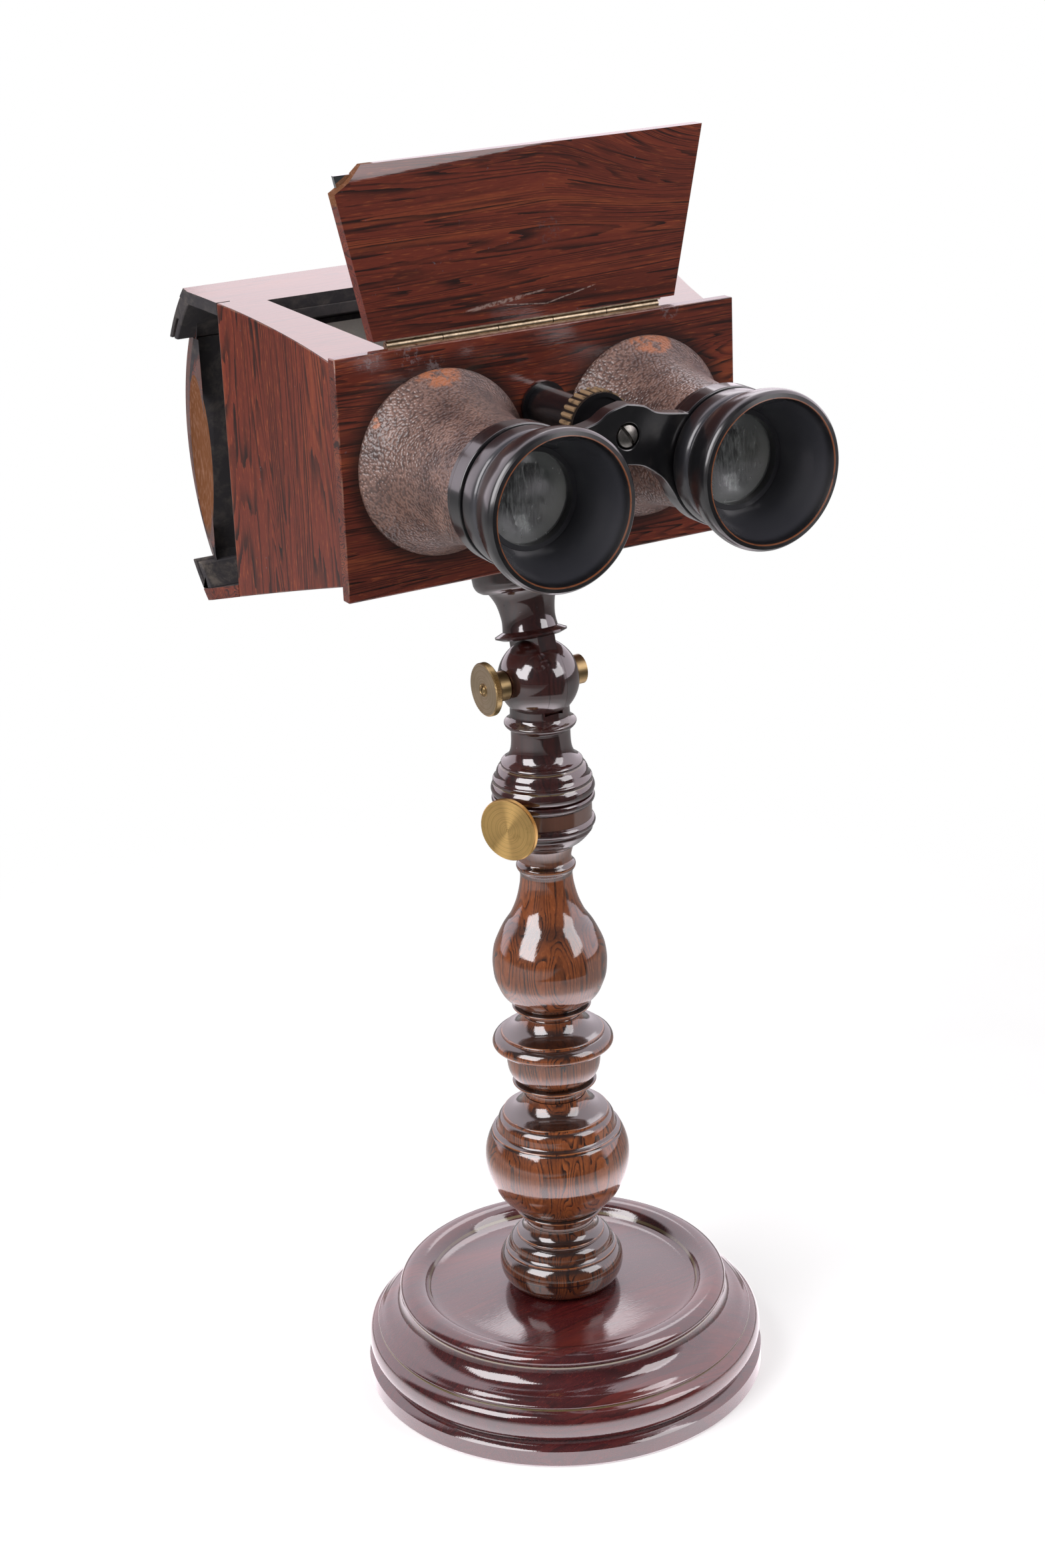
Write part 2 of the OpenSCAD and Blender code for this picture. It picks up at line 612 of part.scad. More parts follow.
module lower_baluster() {
    color("#5a2a18") difference() {
        union() {
            turned(concat([[0, seat_z]],
                member(foot_shape, foot_d / 2, seat_z, foot_h),
                member(foot_edge, foot_d / 2, seat_z, foot_h),
                member(ankle_band, ankle_d / 2, ankle_z, ankle_h),
                member(ankle_disc, ankle_d / 2, ankle_z, ankle_h),
                member(ankle_neck, ankle_d / 2, ankle_z, ankle_h),
                member(bulb_foot, bulb_d / 2, bulb_z, bulb_h),
                member(bulb_shape, bulb_d / 2, bulb_z, bulb_h),
                member(bulb_band, bulb_d / 2, bulb_z, bulb_h),
                member(bulb_disc, bulb_d / 2, bulb_z, bulb_h),
                [[0, bead_z]]));
            translate([0, 0, seat_z - tenon_len]) cylinder(h = tenon_len + past, d = tenon_d);
        }
        translate([0, 0, bead_z - tenon_len - glue_gap])
            cylinder(h = tenon_len + glue_gap + past, r = tenon_d / 2 + glue_gap);
    }
}

module upper_baluster() {
    color("#6a351d") difference() {
        union() {
            turned(concat([[0, bead_z]],
                member(bead_shape, bead_d / 2, bead_z, bead_h),
                member(cup_body, cup_d / 2, cup_z, cup_h),
                member(cup_lip, cup_d / 2, cup_z, cup_h),
                member(cup_disc, cup_d / 2, cup_z, cup_h),
                member(vase_bead, vase_bead_d / 2, vase_bead_z, vase_bead_h),
                member(vase_shape, vase_d / 2, vase_z, vase_h),
                member(neck_ring, neck_ring_d / 2, neck_ring_z, neck_ring_h),
                member(neck_rim, neck_ring_d / 2, neck_ring_z, neck_ring_h),
                member(neck_shape, neck_ring_d / 2, neck_z, neck_h),
                [[0, collar_z]]));
            translate([0, 0, bead_z - tenon_len]) cylinder(h = tenon_len + past, d = tenon_d);
            translate([0, 0, collar_z - past]) cylinder(h = spigot_len + past, d = spigot_d);
        }
        translate([0, 0, bell_z + rod_hold - rod_len - past])
            cylinder(h = rod_len, r = rod_bore_r);
    }
}

module clamp_collar() {
    color("#3c1a10") difference() {
        turned(concat([[0, collar_z]],
            member(collar_cup, collar_r, collar_z, collar_h),
            member(collar_ring, collar_r, collar_z, collar_h),
            member(collar_bead, collar_r, collar_z, collar_h),
            member(collar_band, collar_r, collar_z, collar_h),
            member(collar_top, collar_r, collar_z, collar_h),
            [[0.96 * collar_r, collar_z + collar_h], [0, collar_z + collar_h]]));
        translate([0, 0, collar_z - past])
            cylinder(h = spigot_len + glue_gap + past, r = spigot_d / 2 + glue_gap);
        translate([0, 0, collar_z]) cylinder(h = collar_h + past, r = rod_bore_r);
        toward_clamp() cylinder(h = collar_d, r = clamp_bush_d / 2);
    }
}

module clamp_bush() {
    color("#b08d4a") difference() {
        toward_clamp() cylinder(h = bush_end_r, d = clamp_bush_d);
        toward_clamp() cylinder(h = collar_d, r = clamp_screw_d / 2 + run_gap);
        translate([0, 0, collar_z]) cylinder(h = collar_h, r = rod_bore_r);
    }
}

module clamp_screw() {
    tip = rod_bore_r + run_gap;
    color("#b08d4a") toward_clamp() {
        translate([0, 0, tip]) cylinder(h = clamp_knob_r0 - tip, d = clamp_screw_d);
    }
}

module clamp_knob() {
    color("#c9a24e") toward_clamp() {
        translate([0, 0, clamp_knob_r0]) {
            translate([0, 0, clamp_knob_t * 0.1]) ribbed(clamp_knob_d / 2, clamp_knob_t / 8, 60, clamp_knob_t * 0.8);
            cylinder(h = clamp_knob_t, d = clamp_knob_d * 0.955);
        }
        translate([0, 0, clamp_knob_r0 - clamp_reach / 2]) difference() {
            cylinder(h = clamp_reach / 2 + clamp_knob_t / 2, d = clamp_screw_d * 1.9);
            translate([0, 0, -past]) cylinder(h = clamp_reach / 2 + past, d = clamp_screw_d);
        }
    }
}

// Mast, stem and tilt joint

module stem_rod() {
    color("#6b4a2a") translate([0, 0, bell_z + rod_hold - rod_len])
        cylinder(h = rod_len, d = rod_d);
}

module upper_stem() {
    slot_r = ball_r + slide_gap + run_gap;
    slot_x = tongue_t / 2 + run_gap;
    color("#241010") difference() {
        union() {
            turned(concat([[0, bell_z]],
                member(bell_lip, bell_d / 2, bell_z, bell_h),
                member(bell_ridge, bell_d / 2, bell_z, bell_h),
                member(bell_shape, bell_d / 2, bell_z, bell_h),
                member(fork_bead, fork_bead_d / 2, fork_bead_z, fork_bead_h),
                member(fork_rim, fork_bead_d / 2, fork_bead_z, fork_bead_h),
                [[fork_neck_d / 2, fork_neck_z + fork_neck_h], [0, ball_z - ball_r / 2]]));
            translate([0, 0, ball_z]) sphere(r = ball_r);
        }
        tilt_axis() translate([0, 0, -slot_x]) cylinder(h = 2 * slot_x, r = slot_r);
        tilt_axis() translate([0, 0, -ball_d]) cylinder(h = 2 * ball_d, r = tilt_screw_d / 2 + run_gap);
        tilt_axis() translate([0, 0, spot_x]) cylinder(h = ball_r, r = tilt_boss_d / 2 + glue_gap);
        tilt_axis() translate([0, 0, -spot_x - ball_r]) cylinder(h = ball_r, r = tilt_boss_d / 2 + slide_gap);
        translate([0, 0, bell_z - past]) cylinder(h = rod_hold + slide_gap + past, r = rod_bore_r);
    }
}

module tilt_nut() {
    color("#a88446") tilt_axis() translate([0, 0, spot_x]) difference() {
        cylinder(h = ball_r - spot_x + tilt_knob_t, d = tilt_boss_d);
        translate([0, 0, -past]) cylinder(h = ball_r, r = tilt_screw_d / 2 + run_gap);
    }
}

module tilt_screw() {
    color("#a88446") tilt_axis() translate([0, 0, -knob_x])
        cylinder(h = knob_x + ball_r + tilt_knob_t, d = tilt_screw_d);
}

module tilt_knob() {
    boss_x = spot_x + slide_gap;
    color("#a88446") tilt_axis() difference() {
        union() {
            translate([0, 0, -knob_x - tilt_knob_t])
                ribbed(tilt_knob_d / 2, tilt_knob_t / 8, 48, tilt_knob_t);
            translate([0, 0, -knob_x - past / 2]) cylinder(h = knob_x + past / 2 - boss_x, d = tilt_boss_d);
        }
        translate([0, 0, -knob_x]) cylinder(h = knob_x, d = tilt_screw_d);
    }
}

// Head

module head_socket() {
    ring_z = ball_r + slide_gap;
    neck_z0 = ring_z + socket_ring_t;
    flange_z = socket_rise - flange_h;
    color("#241010") difference() {
        socket_axis() union() {
            turned(concat(
                [[0, ring_z], [socket_neck_d / 2, ring_z],
                    [socket_ring_d / 2, ring_z + 0.35 * socket_ring_t],
                    [socket_ring_d / 2, ring_z + 0.6 * socket_ring_t],
                    [socket_neck_d / 2, neck_z0]],
                member(socket_shape, socket_neck_d / 2, neck_z0, flange_z - neck_z0),
                member(flange_shape, flange_d / 2, flange_z, flange_h),
                [[0, socket_rise]]));
            intersection() {
                union() {
                    sphere(r = ball_r);
                    translate([-ball_r, -socket_neck_d / 2, 0]) cube([ball_d, socket_neck_d, ring_z + past]);
                }
                translate([-tongue_t / 2, -ball_d, -ball_d]) cube([tongue_t, 2 * ball_d, 3 * ball_d]);
            }
        }
        tilt_axis() translate([0, 0, -ball_r]) cylinder(h = ball_d, r = tilt_screw_d / 2 + run_gap);
        flange_holes();
        behind_front_board();
    }
}

// The flat on the flange that clears the front board
module behind_front_board() {
    translate([-far, front_y - far, front_z - front_h / 2 - glue_gap])
        cube([2 * far, far + front_t + glue_gap, far]);
}

module at_flange_screws() {
    socket_axis() for (i = [0 : flange_screw_count - 1])
        rotate([0, 0, 360 * (i + 0.5) / flange_screw_count])
            translate([flange_d / 2 - 2 * flange_screw_d, 0, socket_rise + board_t])
                children();
}

module flange_holes() {
    at_flange_screws() wood_screw(flange_screw_d + 2 * glue_gap, 2 * flange_screw_d, flange_screw_len + glue_gap);
}

module flange_screws() {
    color("#8a8a88") at_flange_screws()
        wood_screw(flange_screw_d, 2 * flange_screw_d - 2 * glue_gap, flange_screw_len);
}

// The space inside the rounded back, between the ends of the rails
module back_round(r, w) {
    translate([0, back_y, back_z]) rotate([0, 90, 0])
        cylinder(h = w, r = r, center = true, $fn = 240);
}

// What lies between the two flared sides, each moved inwards by inset
module between_flares(inset) {
    difference() {
        translate([-rail_x, -case_front_y, 0]) cube([2 * rail_x, far, 2 * roof_z0]);
        for (side = [-1, 1])
            translate([side * flare_x, flare_y, 0])
                cylinder(h = 2 * roof_z0, r = flare_r + inset, $fn = 360);
    }
}

// A board that covers the case, from z_low to z_high at the front and the back
module cover_board(z_low, z_front, z_back) {
    intersection() {
        along_x(2 * far) polygon([[-case_front_y, z_front], [far, z_back],
            [far, z_back + z_low], [-case_front_y, z_front + z_low]]);
        back_or_front();
        cover_plan();
    }
}

// Everything in front of the centre of the rounded back, and inside its curve behind it
module back_or_front() {
    back_round(back_r, 2 * far);
    translate([-far, -far, 0]) cube([2 * far, far + back_y, 2 * roof_z0]);
}

module floor_board() {
    color("#4a2216") difference() {
        cover_board(floor_rise, floor_z(-case_front_y), floor_z(far));
        flange_holes();
    }
}

module roof_board() {
    color("#7a3b22") difference() {
        cover_board(-roof_drop, roof_z(-case_front_y), roof_z(far));
        translate([0, 0, roof_z0 - board_t * 3]) linear_extrude(8 * board_t) roof_window();
        hinge_axis() rotate([roof_slope, 0, 0]) hinge_screw_holes();
    }
}

// The window seen from above
module roof_window() {
    y0 = window_lead;
    y1 = card_y - card_guide_w;
    x0 = window_w / 2 + window_spread * y0;
    x1 = window_w / 2 + window_spread * y1;
    polygon([[-x0, y0], [x0, y0], [x1, y1], [-x1, y1]]);
}

// The inside of the case in side view, from y0 to y1
module inside_view(y0, y1) {
    polygon([[y0, floor_z(y0) + floor_rise], [y1, floor_z(y1) + floor_rise],
        [y1, roof_z(y1) - roof_drop], [y0, roof_z(y0) - roof_drop]]);
}

// A side wall covers the ends of the floor and the roof
module side_wall(side) {
    intersection() {
        along_x(2 * far) polygon([[-case_front_y, floor_z(-case_front_y)], [card_y, floor_z(card_y)],
            [card_y, roof_z(card_y)], [-case_front_y, roof_z(-case_front_y)]]);
        difference() {
            between_flares(0);
            between_flares(wall_t);
        }
        translate([side > 0 ? 0 : -far, -far, 0]) cube([far, 2 * far, 2 * roof_z0]);
    }
}

// What the floor and the roof may fill: between the walls, and the full width behind them
module cover_plan() {
    between_flares(wall_t);
    intersection() {
        between_flares(0);
        translate([-far, card_y, 0]) cube([2 * far, far, 2 * roof_z0]);
    }
}

module side_wall_left() {
    color("#6b2f18") side_wall(-1);
}

module side_wall_right() {
    color("#6b2f18") side_wall(1);
}

module front_board() {
    color("#6b2f18") difference() {
        translate([-front_w / 2, front_y, front_z - front_h / 2]) cube([front_w, front_t, front_h]);
        for (side = [-1, 1])
            toward_front(side * lens_pitch / 2, lens_z)
                translate([0, 0, -front_t - past])
                    cylinder(h = front_t + 2 * past, d = barrel_spigot_d + 2 * glue_gap);
    }
}

module septum() {
    y1 = septum_len - case_front_y;
    top = roof_z(-case_front_y) - roof_drop;
    color("#1a1614") along_x(septum_t) polygon([[-case_front_y, floor_z(-case_front_y) + floor_rise],
        [y1, floor_z(y1) + floor_rise], [y1, top], [-case_front_y, top]]);
}

module card_guides() {
    y0 = card_y - card_guide_w;
    stop_y = card_y + card_gap;
    guide_w = 2 * rail_x;
    color("#141210") intersection() {
        between_flares(wall_t);
        for (k = [[y0, card_guide_w, guide_w], [stop_y, card_stop_w, card_stop_len]]) {
            along_x(k[2]) intersection() {
                inside_view(k[0], k[0] + k[1]);
                translate([k[0], roof_z(k[0]) - roof_drop - card_guide_h]) square([k[1], far]);
            }
            along_x(k[2]) intersection() {
                inside_view(k[0], k[0] + k[1]);
                translate([k[0], 0]) square([k[1], floor_z(k[0]) + floor_rise + card_guide_h]);
            }
        }
    }
}

// Rounded back

module groove_ring() {
    difference() {
        back_round(tongue_out_r + slide_gap, 2 * far);
        back_round(tongue_in_r - slide_gap, 3 * far);
    }
}

module rail(z0, z1) {
    translate([-rail_x, back_y, z0]) cube([2 * rail_x, far, z1 - z0]);
}

module top_rail() {
    groove_z = frame_top_z + slide_tongue_h + slide_gap;
    color("#2a120c") difference() {
        intersection() {
            back_round(back_r, 2 * rail_x);
            rail(rail_top_z, roof_z0 + far);
            along_x(4 * far) polygon([[back_y, 0], [far, 0], [far, roof_z(far) - roof_drop],
                [back_y, roof_z(back_y) - roof_drop]]);
        }
        back_round(back_r - rail_t, 2 * far);
        intersection() {
            groove_ring();
            translate([-far, back_y, rail_top_z - past]) cube([2 * far, far, groove_z - rail_top_z + past]);
        }
    }
}

module bottom_rail() {
    groove_z = frame_bottom_z - slide_tongue_h - slide_gap;
    color("#2a120c") difference() {
        intersection() {
            back_round(back_r, 2 * rail_x);
            rail(ball_z, rail_bottom_z);
            along_x(4 * far) polygon([[back_y, floor_z(back_y) + floor_rise], [far, floor_z(far) + floor_rise],
                [far, roof_z0], [back_y, roof_z0]]);
        }
        back_round(back_r - rail_t, 2 * far);
        intersection() {
            groove_ring();
            translate([-far, back_y, groove_z]) cube([2 * far, far, rail_bottom_z - groove_z + past]);
        }
    }
}

module back_frame() {
    win_x = back_w / 2 - end_block_w;
    win_z0 = frame_bottom_z + bar_t;
    win_h = frame_top_z - frame_bottom_z - 2 * bar_t;
    mid_z = (frame_top_z + frame_bottom_z) / 2;
    scoop_z = scoop_h / 2 - scoop_r;
    color("#5c2a18") difference() {
        union() {
            intersection() {
                back_round(back_r, back_w);
                translate([-back_w, back_face_y, frame_bottom_z]) cube([2 * back_w, far, frame_top_z - frame_bottom_z]);
            }
            intersection() {
                back_round(tongue_out_r, back_w);
                translate([-back_w, back_face_y - far / 8, frame_bottom_z - slide_tongue_h])
                    cube([2 * back_w, far, frame_top_z - frame_bottom_z + 2 * slide_tongue_h]);
                difference() {
                    back_round(back_r, back_w);
                    back_round(tongue_in_r, 2 * back_w);
                }
            }
        }
        translate([-win_x, 0, win_z0]) cube([2 * win_x, far, win_h]);
        translate([-win_x - glass_hold - glue_gap, glass_y, win_z0])
            cube([2 * (win_x + glass_hold + glue_gap), glass_t + 2 * glue_gap, win_h]);
        for (side = [-1, 1])
            translate([side * (back_w / 2 + scoop_out), back_y + back_r - scoop_in, mid_z]) {
                cylinder(h = 2 * scoop_z, r = scoop_r, center = true);
                for (end = [-1, 1]) translate([0, 0, end * scoop_z]) sphere(r = scoop_r);
            }
    }
}

module ground_glass() {
    half = back_w / 2 - end_block_w + glass_hold;
    color("#e9e6dc") translate([-half, glass_y + glue_gap, frame_bottom_z + bar_t + glue_gap])
        cube([2 * half, glass_t, frame_top_z - frame_bottom_z - 2 * bar_t - 2 * glue_gap]);
}

// Hinge and lid

// Knuckles number first, first + 2 and so on, each with a web to its leaf
module knuckles(first, web_z) {
    for (i = [first : 2 : knuckle_count - 1])
        translate([-hinge_len / 2 + i * knuckle_len + slide_gap / 2, 0, 0]) {
            rotate([0, 90, 0]) cylinder(h = knuckle_len - slide_gap, r = knuckle_r, $fn = 32);
            translate([0, -knuckle_r / 2, min(0, web_z)])
                cube([knuckle_len - slide_gap, knuckle_r, abs(web_z)]);
        }
}

module hinge_leaf_roof() {
    color("#b5924c") hinge_axis() difference() {
        rotate([roof_slope, 0, 0]) difference() {
            union() {
                knuckles(0, -hinge_rise + leaf_t / 2);
                translate([-hinge_len / 2, -leaf_w, -hinge_rise]) cube([hinge_len, leaf_w + knuckle_r / 2, leaf_t]);
            }
            hinge_screw_holes();
        }
        rotate([0, 90, 0]) cylinder(h = 2 * hinge_len, r = pin_d / 2 + run_gap, center = true, $fn = 32);
    }
}

// In the frame of the roof's leaf
module at_hinge_screws() {
    for (i = [0 : hinge_screw_count - 1])
        translate([hinge_len * ((i + 0.5) / hinge_screw_count - 0.5), -0.64 * leaf_w, leaf_t - hinge_rise])
            children();
}

module hinge_screw_holes() {
    at_hinge_screws() wood_screw(hinge_screw_d + 2 * glue_gap, hinge_screw_head_d, hinge_screw_len + glue_gap);
}

module hinge_screws() {
    color("#b5924c") hinge_axis() rotate([roof_slope, 0, 0]) at_hinge_screws()
        wood_screw(hinge_screw_d, hinge_screw_head_d - 2 * glue_gap, hinge_screw_len);
}

module hinge_pin() {
    color("#b5924c") hinge_axis() rotate([0, 90, 0])
        cylinder(h = hinge_len, d = pin_d, center = true, $fn = 32);
}

module hinge_leaf_lid() {
    color("#b5924c") hinge_axis() difference() {
        union() {
            knuckles(1, leaf_z + leaf_t / 2);
            translate([-hinge_len / 2, lid_y + leaf_margin, leaf_z])
                cube([hinge_len, lid_t - 2 * leaf_margin, leaf_t]);
        }
        rotate([0, 90, 0]) cylinder(h = 2 * hinge_len, r = pin_d / 2 + run_gap, center = true, $fn = 32);
        at_lid_screws() wood_screw(hinge_screw_d + 2 * glue_gap, hinge_screw_head_d, lid_screw_len + glue_gap);
    }
}

// Upside down under the lid's edge
module at_lid_screws() {
    for (i = [0 : 2 : hinge_screw_count - 1])
        translate([hinge_len * ((i + 0.5) / hinge_screw_count - 0.5), lid_y + (lid_t - mirror_t) / 2, leaf_z])
            rotate([180, 0, 0]) children();
}

module lid_screws() {
    color("#b5924c") hinge_axis() at_lid_screws()
        wood_screw(hinge_screw_d, hinge_screw_head_d - 2 * glue_gap, lid_screw_len);
}

// The lid from the front, inset on all sides
module lid_view(inset, chip) {
    slant = (lid_tip_w - lid_root_w) / 2 / lid_len;
    x0 = lid_root_w / 2 + slant * inset - inset;
    x1 = lid_tip_w / 2 - slant * inset - inset;
    z0 = lid_z + inset;
    z1 = lid_z + lid_len - inset;
    difference() {
        polygon([[-x0, z0], [x0, z0], [x1, z1], [-x1, z1]]);
        if (chip)
            polygon([[-x1 + chip_w, z1 + past], [-x1 + chip_w, z1], [-x1 + 0.55 * chip_w, z1 - 0.5 * chip_h],
                [-x1 - past, z1 - chip_h], [-x1 - chip_w, z1 + past]]);
    }
}

module lid() {
    color("#6b2f18") hinge_axis() difference() {
        translate([0, lid_back_y, 0]) rotate([90, 0, 0]) linear_extrude(lid_t) lid_view(0, true);
        translate([0, lid_back_y + past, 0]) rotate([90, 0, 0])
            linear_extrude(mirror_t + glue_gap + past) lid_view(mirror_margin, false);
        at_lid_screws() wood_screw(hinge_screw_d + 2 * glue_gap, hinge_screw_head_d, lid_screw_len + glue_gap);
        worn_edge();
    }
}

// The plane worn off the upper front edge, deepest at the left
module worn_edge() {
    run = lid_tip_w / 2 + wear_end;
    translate([wear_end, lid_y, lid_z + lid_len])
        rotate([0, 0, -atan(wear_depth / run)])
            rotate([-atan(wear_depth / wear_h), 0, 0])
                translate([-far, -far, -far]) cube([2 * far, far, 2 * far]);
}

module lid_mirror() {
    color("#c8ccd0") hinge_axis() translate([0, lid_back_y, 0]) rotate([90, 0, 0])
        linear_extrude(mirror_t) lid_view(mirror_margin + glue_gap, false);
}

// Barrels

function barrel_outline(inset) =
    flare(barrel_shape, barrel_mouth_d / 2 - inset, barrel_bell_d / 2 - inset, 0, barrel_len);

module barrel(side) {
    toward_front(side * lens_pitch / 2, lens_z) difference() {
        union() {
            turned(concat([[0, 0]], barrel_outline(leather_t), [[0, barrel_len]]));
            translate([0, 0, -front_t]) cylinder(h = front_t + past, d = barrel_spigot_d);
        }
        translate([0, 0, -front_t - past])
            cylinder(h = barrel_len + front_t + 2 * past, r = tube_d / 2 + run_gap);
    }
}

module leather(side) {
    toward_front(side * lens_pitch / 2, lens_z) difference() {
        turned(concat([[0, 0]], barrel_outline(0), [[0, barrel_len]]));
        turned(concat([[0, -past], [barrel_bell_d / 2 - leather_t, -past]], barrel_outline(leather_t),
            [[barrel_mouth_d / 2 - leather_t, barrel_len + past], [0, barrel_len + past]]));
    }
}

module barrel_left() {
    color("#1c1210") barrel(-1);
}

module barrel_right() {
    color("#1c1210") barrel(1);
}

module leather_left() {
    color("#3a2418") leather(-1);
}

module leather_right() {
    color("#3a2418") leather(1);
}

// Eyepieces

module draw_tube(side) {
    toward_front(side * lens_pitch / 2, lens_z) difference() {
        union() {
            translate([0, 0, tube_end_h - tube_len]) cylinder(h = tube_len, d = tube_d);
            translate([0, 0, stop_h]) cylinder(h = stop_t, d = stop_d);
        }
        translate([0, 0, tube_end_h - tube_len - past])
            cylinder(h = tube_len + 2 * past, d = tube_d - 2 * tube_wall);
    }
}

module draw_tube_left() {
    color("#141012") draw_tube(-1);
}

module draw_tube_right() {
    color("#141012") draw_tube(1);
}

module eyecup(side) {
    ring_r = cup_ring_d / 2;
    toward_front(side * lens_pitch / 2, lens_z) rotate_extrude() polygon(concat(
        [[tube_d / 2 + glue_gap, yoke_h], [yoke_seat_d / 2, yoke_h], [yoke_seat_d / 2, ring_h]],
        member(cup_ring_shape, ring_r, ring_h, cup_ring_h),
        flare(eyecup_shape, ring_r, eyecup_d / 2, eyecup_z, eyecup_h),
        [[eyecup_mouth_d / 2, mouth_h]],
        flare(funnel_shape, lens_seat_r, eyecup_mouth_d / 2, funnel_h, mouth_h - funnel_h),
        [[lens_seat_r, lens_seat_h], [lens_clear_d / 2 + glue_gap, lens_seat_h],
            [lens_clear_d / 2 + glue_gap, tube_end_h], [tube_d / 2 + glue_gap, tube_end_h]]));
}

module eyecup_left() {
    color("#1a1214") eyecup(-1);
}

module eyecup_right() {
    color("#1a1214") eyecup(1);
}

// One face of a lens, as points from its edge to its crown, on the side given by up
function lens_face(up) =
    let (c = lens_clear_d / 2, big = (c * c + lens_bulge * lens_bulge) / (2 * lens_bulge), a = asin(c / big))
    [for (i = [0 : 8]) let (t = a * (1 - i / 8))
        [big * sin(t), (up > 0 ? lens_front_h : lens_seat_h) + up * (big * cos(t) - big + lens_bulge)]];

module lens(side) {
    back = lens_face(-1);
    toward_front(side * lens_pitch / 2, lens_z) rotate_extrude() polygon(concat(
        [for (i = [8 : -1 : 0]) back[i]],
        [[lens_d / 2, lens_seat_h], [lens_d / 2, lens_front_h]],
        lens_face(1)));
}

module lens_left() {
    color("#b8c4c4") lens(-1);
}

module lens_right() {
    color("#b8c4c4") lens(1);
}

module lens_ring(side) {
    toward_front(side * lens_pitch / 2, lens_z) translate([0, 0, lens_front_h]) difference() {
        cylinder(h = lens_ring_h, d = lens_d);
        translate([0, 0, -past]) cylinder(h = lens_ring_h + 2 * past, d = lens_clear_d + 2 * glue_gap);
    }
}

module lens_ring_left() {
    color("#101010") lens_ring(-1);
}

module lens_ring_right() {
    color("#101010") lens_ring(1);
}

// Bridge and focus

// A point on the right ring of the bridge, as seen from the front and from the focus screw
function on_yoke(angle) =
    [lens_pitch / 2 + yoke_d / 2 * cos(angle), -focus_lift + yoke_d / 2 * sin(angle)];

// The web between the two rings, as seen from the front and from the focus screw
module yoke_web() {
    ring_x = (lens_pitch - yoke_d) / 2;
    top_end = on_yoke(133);
    low_end = on_yoke(204);
    top = curve(concat([for (p = web_top_shape) [ring_x * p[0], web_rise * p[1]]], [top_end]));
    low = curve(concat([low_end],
        [for (p = web_low_shape) [ring_x * p[0], -web_drop + p[1] * (low_end[1] + web_drop)]]));
    right = concat(top, [on_yoke(170)], low);
    count = len(right);
    polygon(concat(right, [for (i = [count - 2 : -1 : 1]) [-right[i][0], right[i][1]]]));
}

module eyepiece_bridge() {
    color("#161012") difference() {
        union() {
            for (side = [-1, 1])
                toward_front(side * lens_pitch / 2, lens_z) translate([0, 0, yoke_h]) cylinder(h = yoke_t, d = yoke_d);
            toward_front(0, focus_z) translate([0, 0, yoke_h]) linear_extrude(yoke_t) yoke_web();
        }
        for (side = [-1, 1])
            toward_front(side * lens_pitch / 2, lens_z) translate([0, 0, yoke_h - past])
                cylinder(h = yoke_t + 2 * past, d = yoke_seat_d + 2 * glue_gap);
        toward_front(0, focus_z) {
            translate([0, 0, yoke_h - past]) cylinder(h = yoke_t + 2 * past, r = focus_screw_d / 2 + run_gap);
            translate([0, 0, ring_h - slotted_depth]) cylinder(h = slotted_depth + past, d = slotted_recess_d);
        }
    }
}

module focus_housing() {
    color("#181214") toward_front(0, focus_z) difference() {
        union() {
            cylinder(h = housing_len, d = housing_d);
            cylinder(h = groove_h * 1.5, d = housing_d + 4 * groove_h);
        }
        translate([0, 0, -past]) cylinder(h = housing_len + 2 * past, r = focus_screw_d / 2 + run_gap);
    }
}

module focus_screw() {
    color("#7d7464") toward_front(0, focus_z) translate([0, 0, screw_tip_h - focus_screw_len])
        cylinder(h = focus_screw_len, d = focus_screw_d);
}

module focus_wheel() {
    dish_r = wheel_d / 2 - 3 * rib_depth;
    color("#161214") toward_front(0, focus_z) translate([0, 0, wheel_h]) difference() {
        union() {
            translate([0, 0, wheel_w * 0.12]) ribbed(wheel_d / 2, rib_depth, wheel_ribs, wheel_w * 0.76);
            cylinder(h = wheel_w, r = wheel_d / 2 - rib_depth);
        }
        translate([0, 0, wheel_w - rib_depth]) cylinder(h = wheel_w, r = dish_r);
        translate([0, 0, -past]) cylinder(h = wheel_w + 2 * past, d = focus_screw_d);
    }
}

module slotted_screw() {
    head_t = slotted_depth - run_gap;
    color("#8d8a84") toward_front(0, focus_z) translate([0, 0, ring_h - head_t]) difference() {
        cylinder(h = head_t, d = slotted_head_d);
        rotate([0, 0, 40]) translate([-slotted_head_d, -slot_w / 2, head_t / 2])
            cube([2 * slotted_head_d, slot_w, head_t]);
    }
}

base();
lower_baluster();
upper_baluster();
clamp_collar();
clamp_bush();
clamp_screw();
clamp_knob();
stem_rod();
upper_stem();
tilt_nut();
tilt_screw();
tilt_knob();
head_socket();
flange_screws();
floor_board();
roof_board();
side_wall_left();
side_wall_right();
front_board();
septum();
card_guides();
top_rail();
bottom_rail();
back_frame();
ground_glass();
hinge_leaf_roof();
hinge_pin();
hinge_screws();
hinge_leaf_lid();
lid_screws();
lid();
lid_mirror();
barrel_left();
barrel_right();
leather_left();
leather_right();
draw_tube_left();
draw_tube_right();
eyecup_left();
eyecup_right();
lens_left();
lens_right();
lens_ring_left();
lens_ring_right();
focus_housing();
focus_screw();
focus_wheel();
slotted_screw();
eyepiece_bridge();
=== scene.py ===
"""Pedestal stereoscope: finishes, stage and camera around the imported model."""

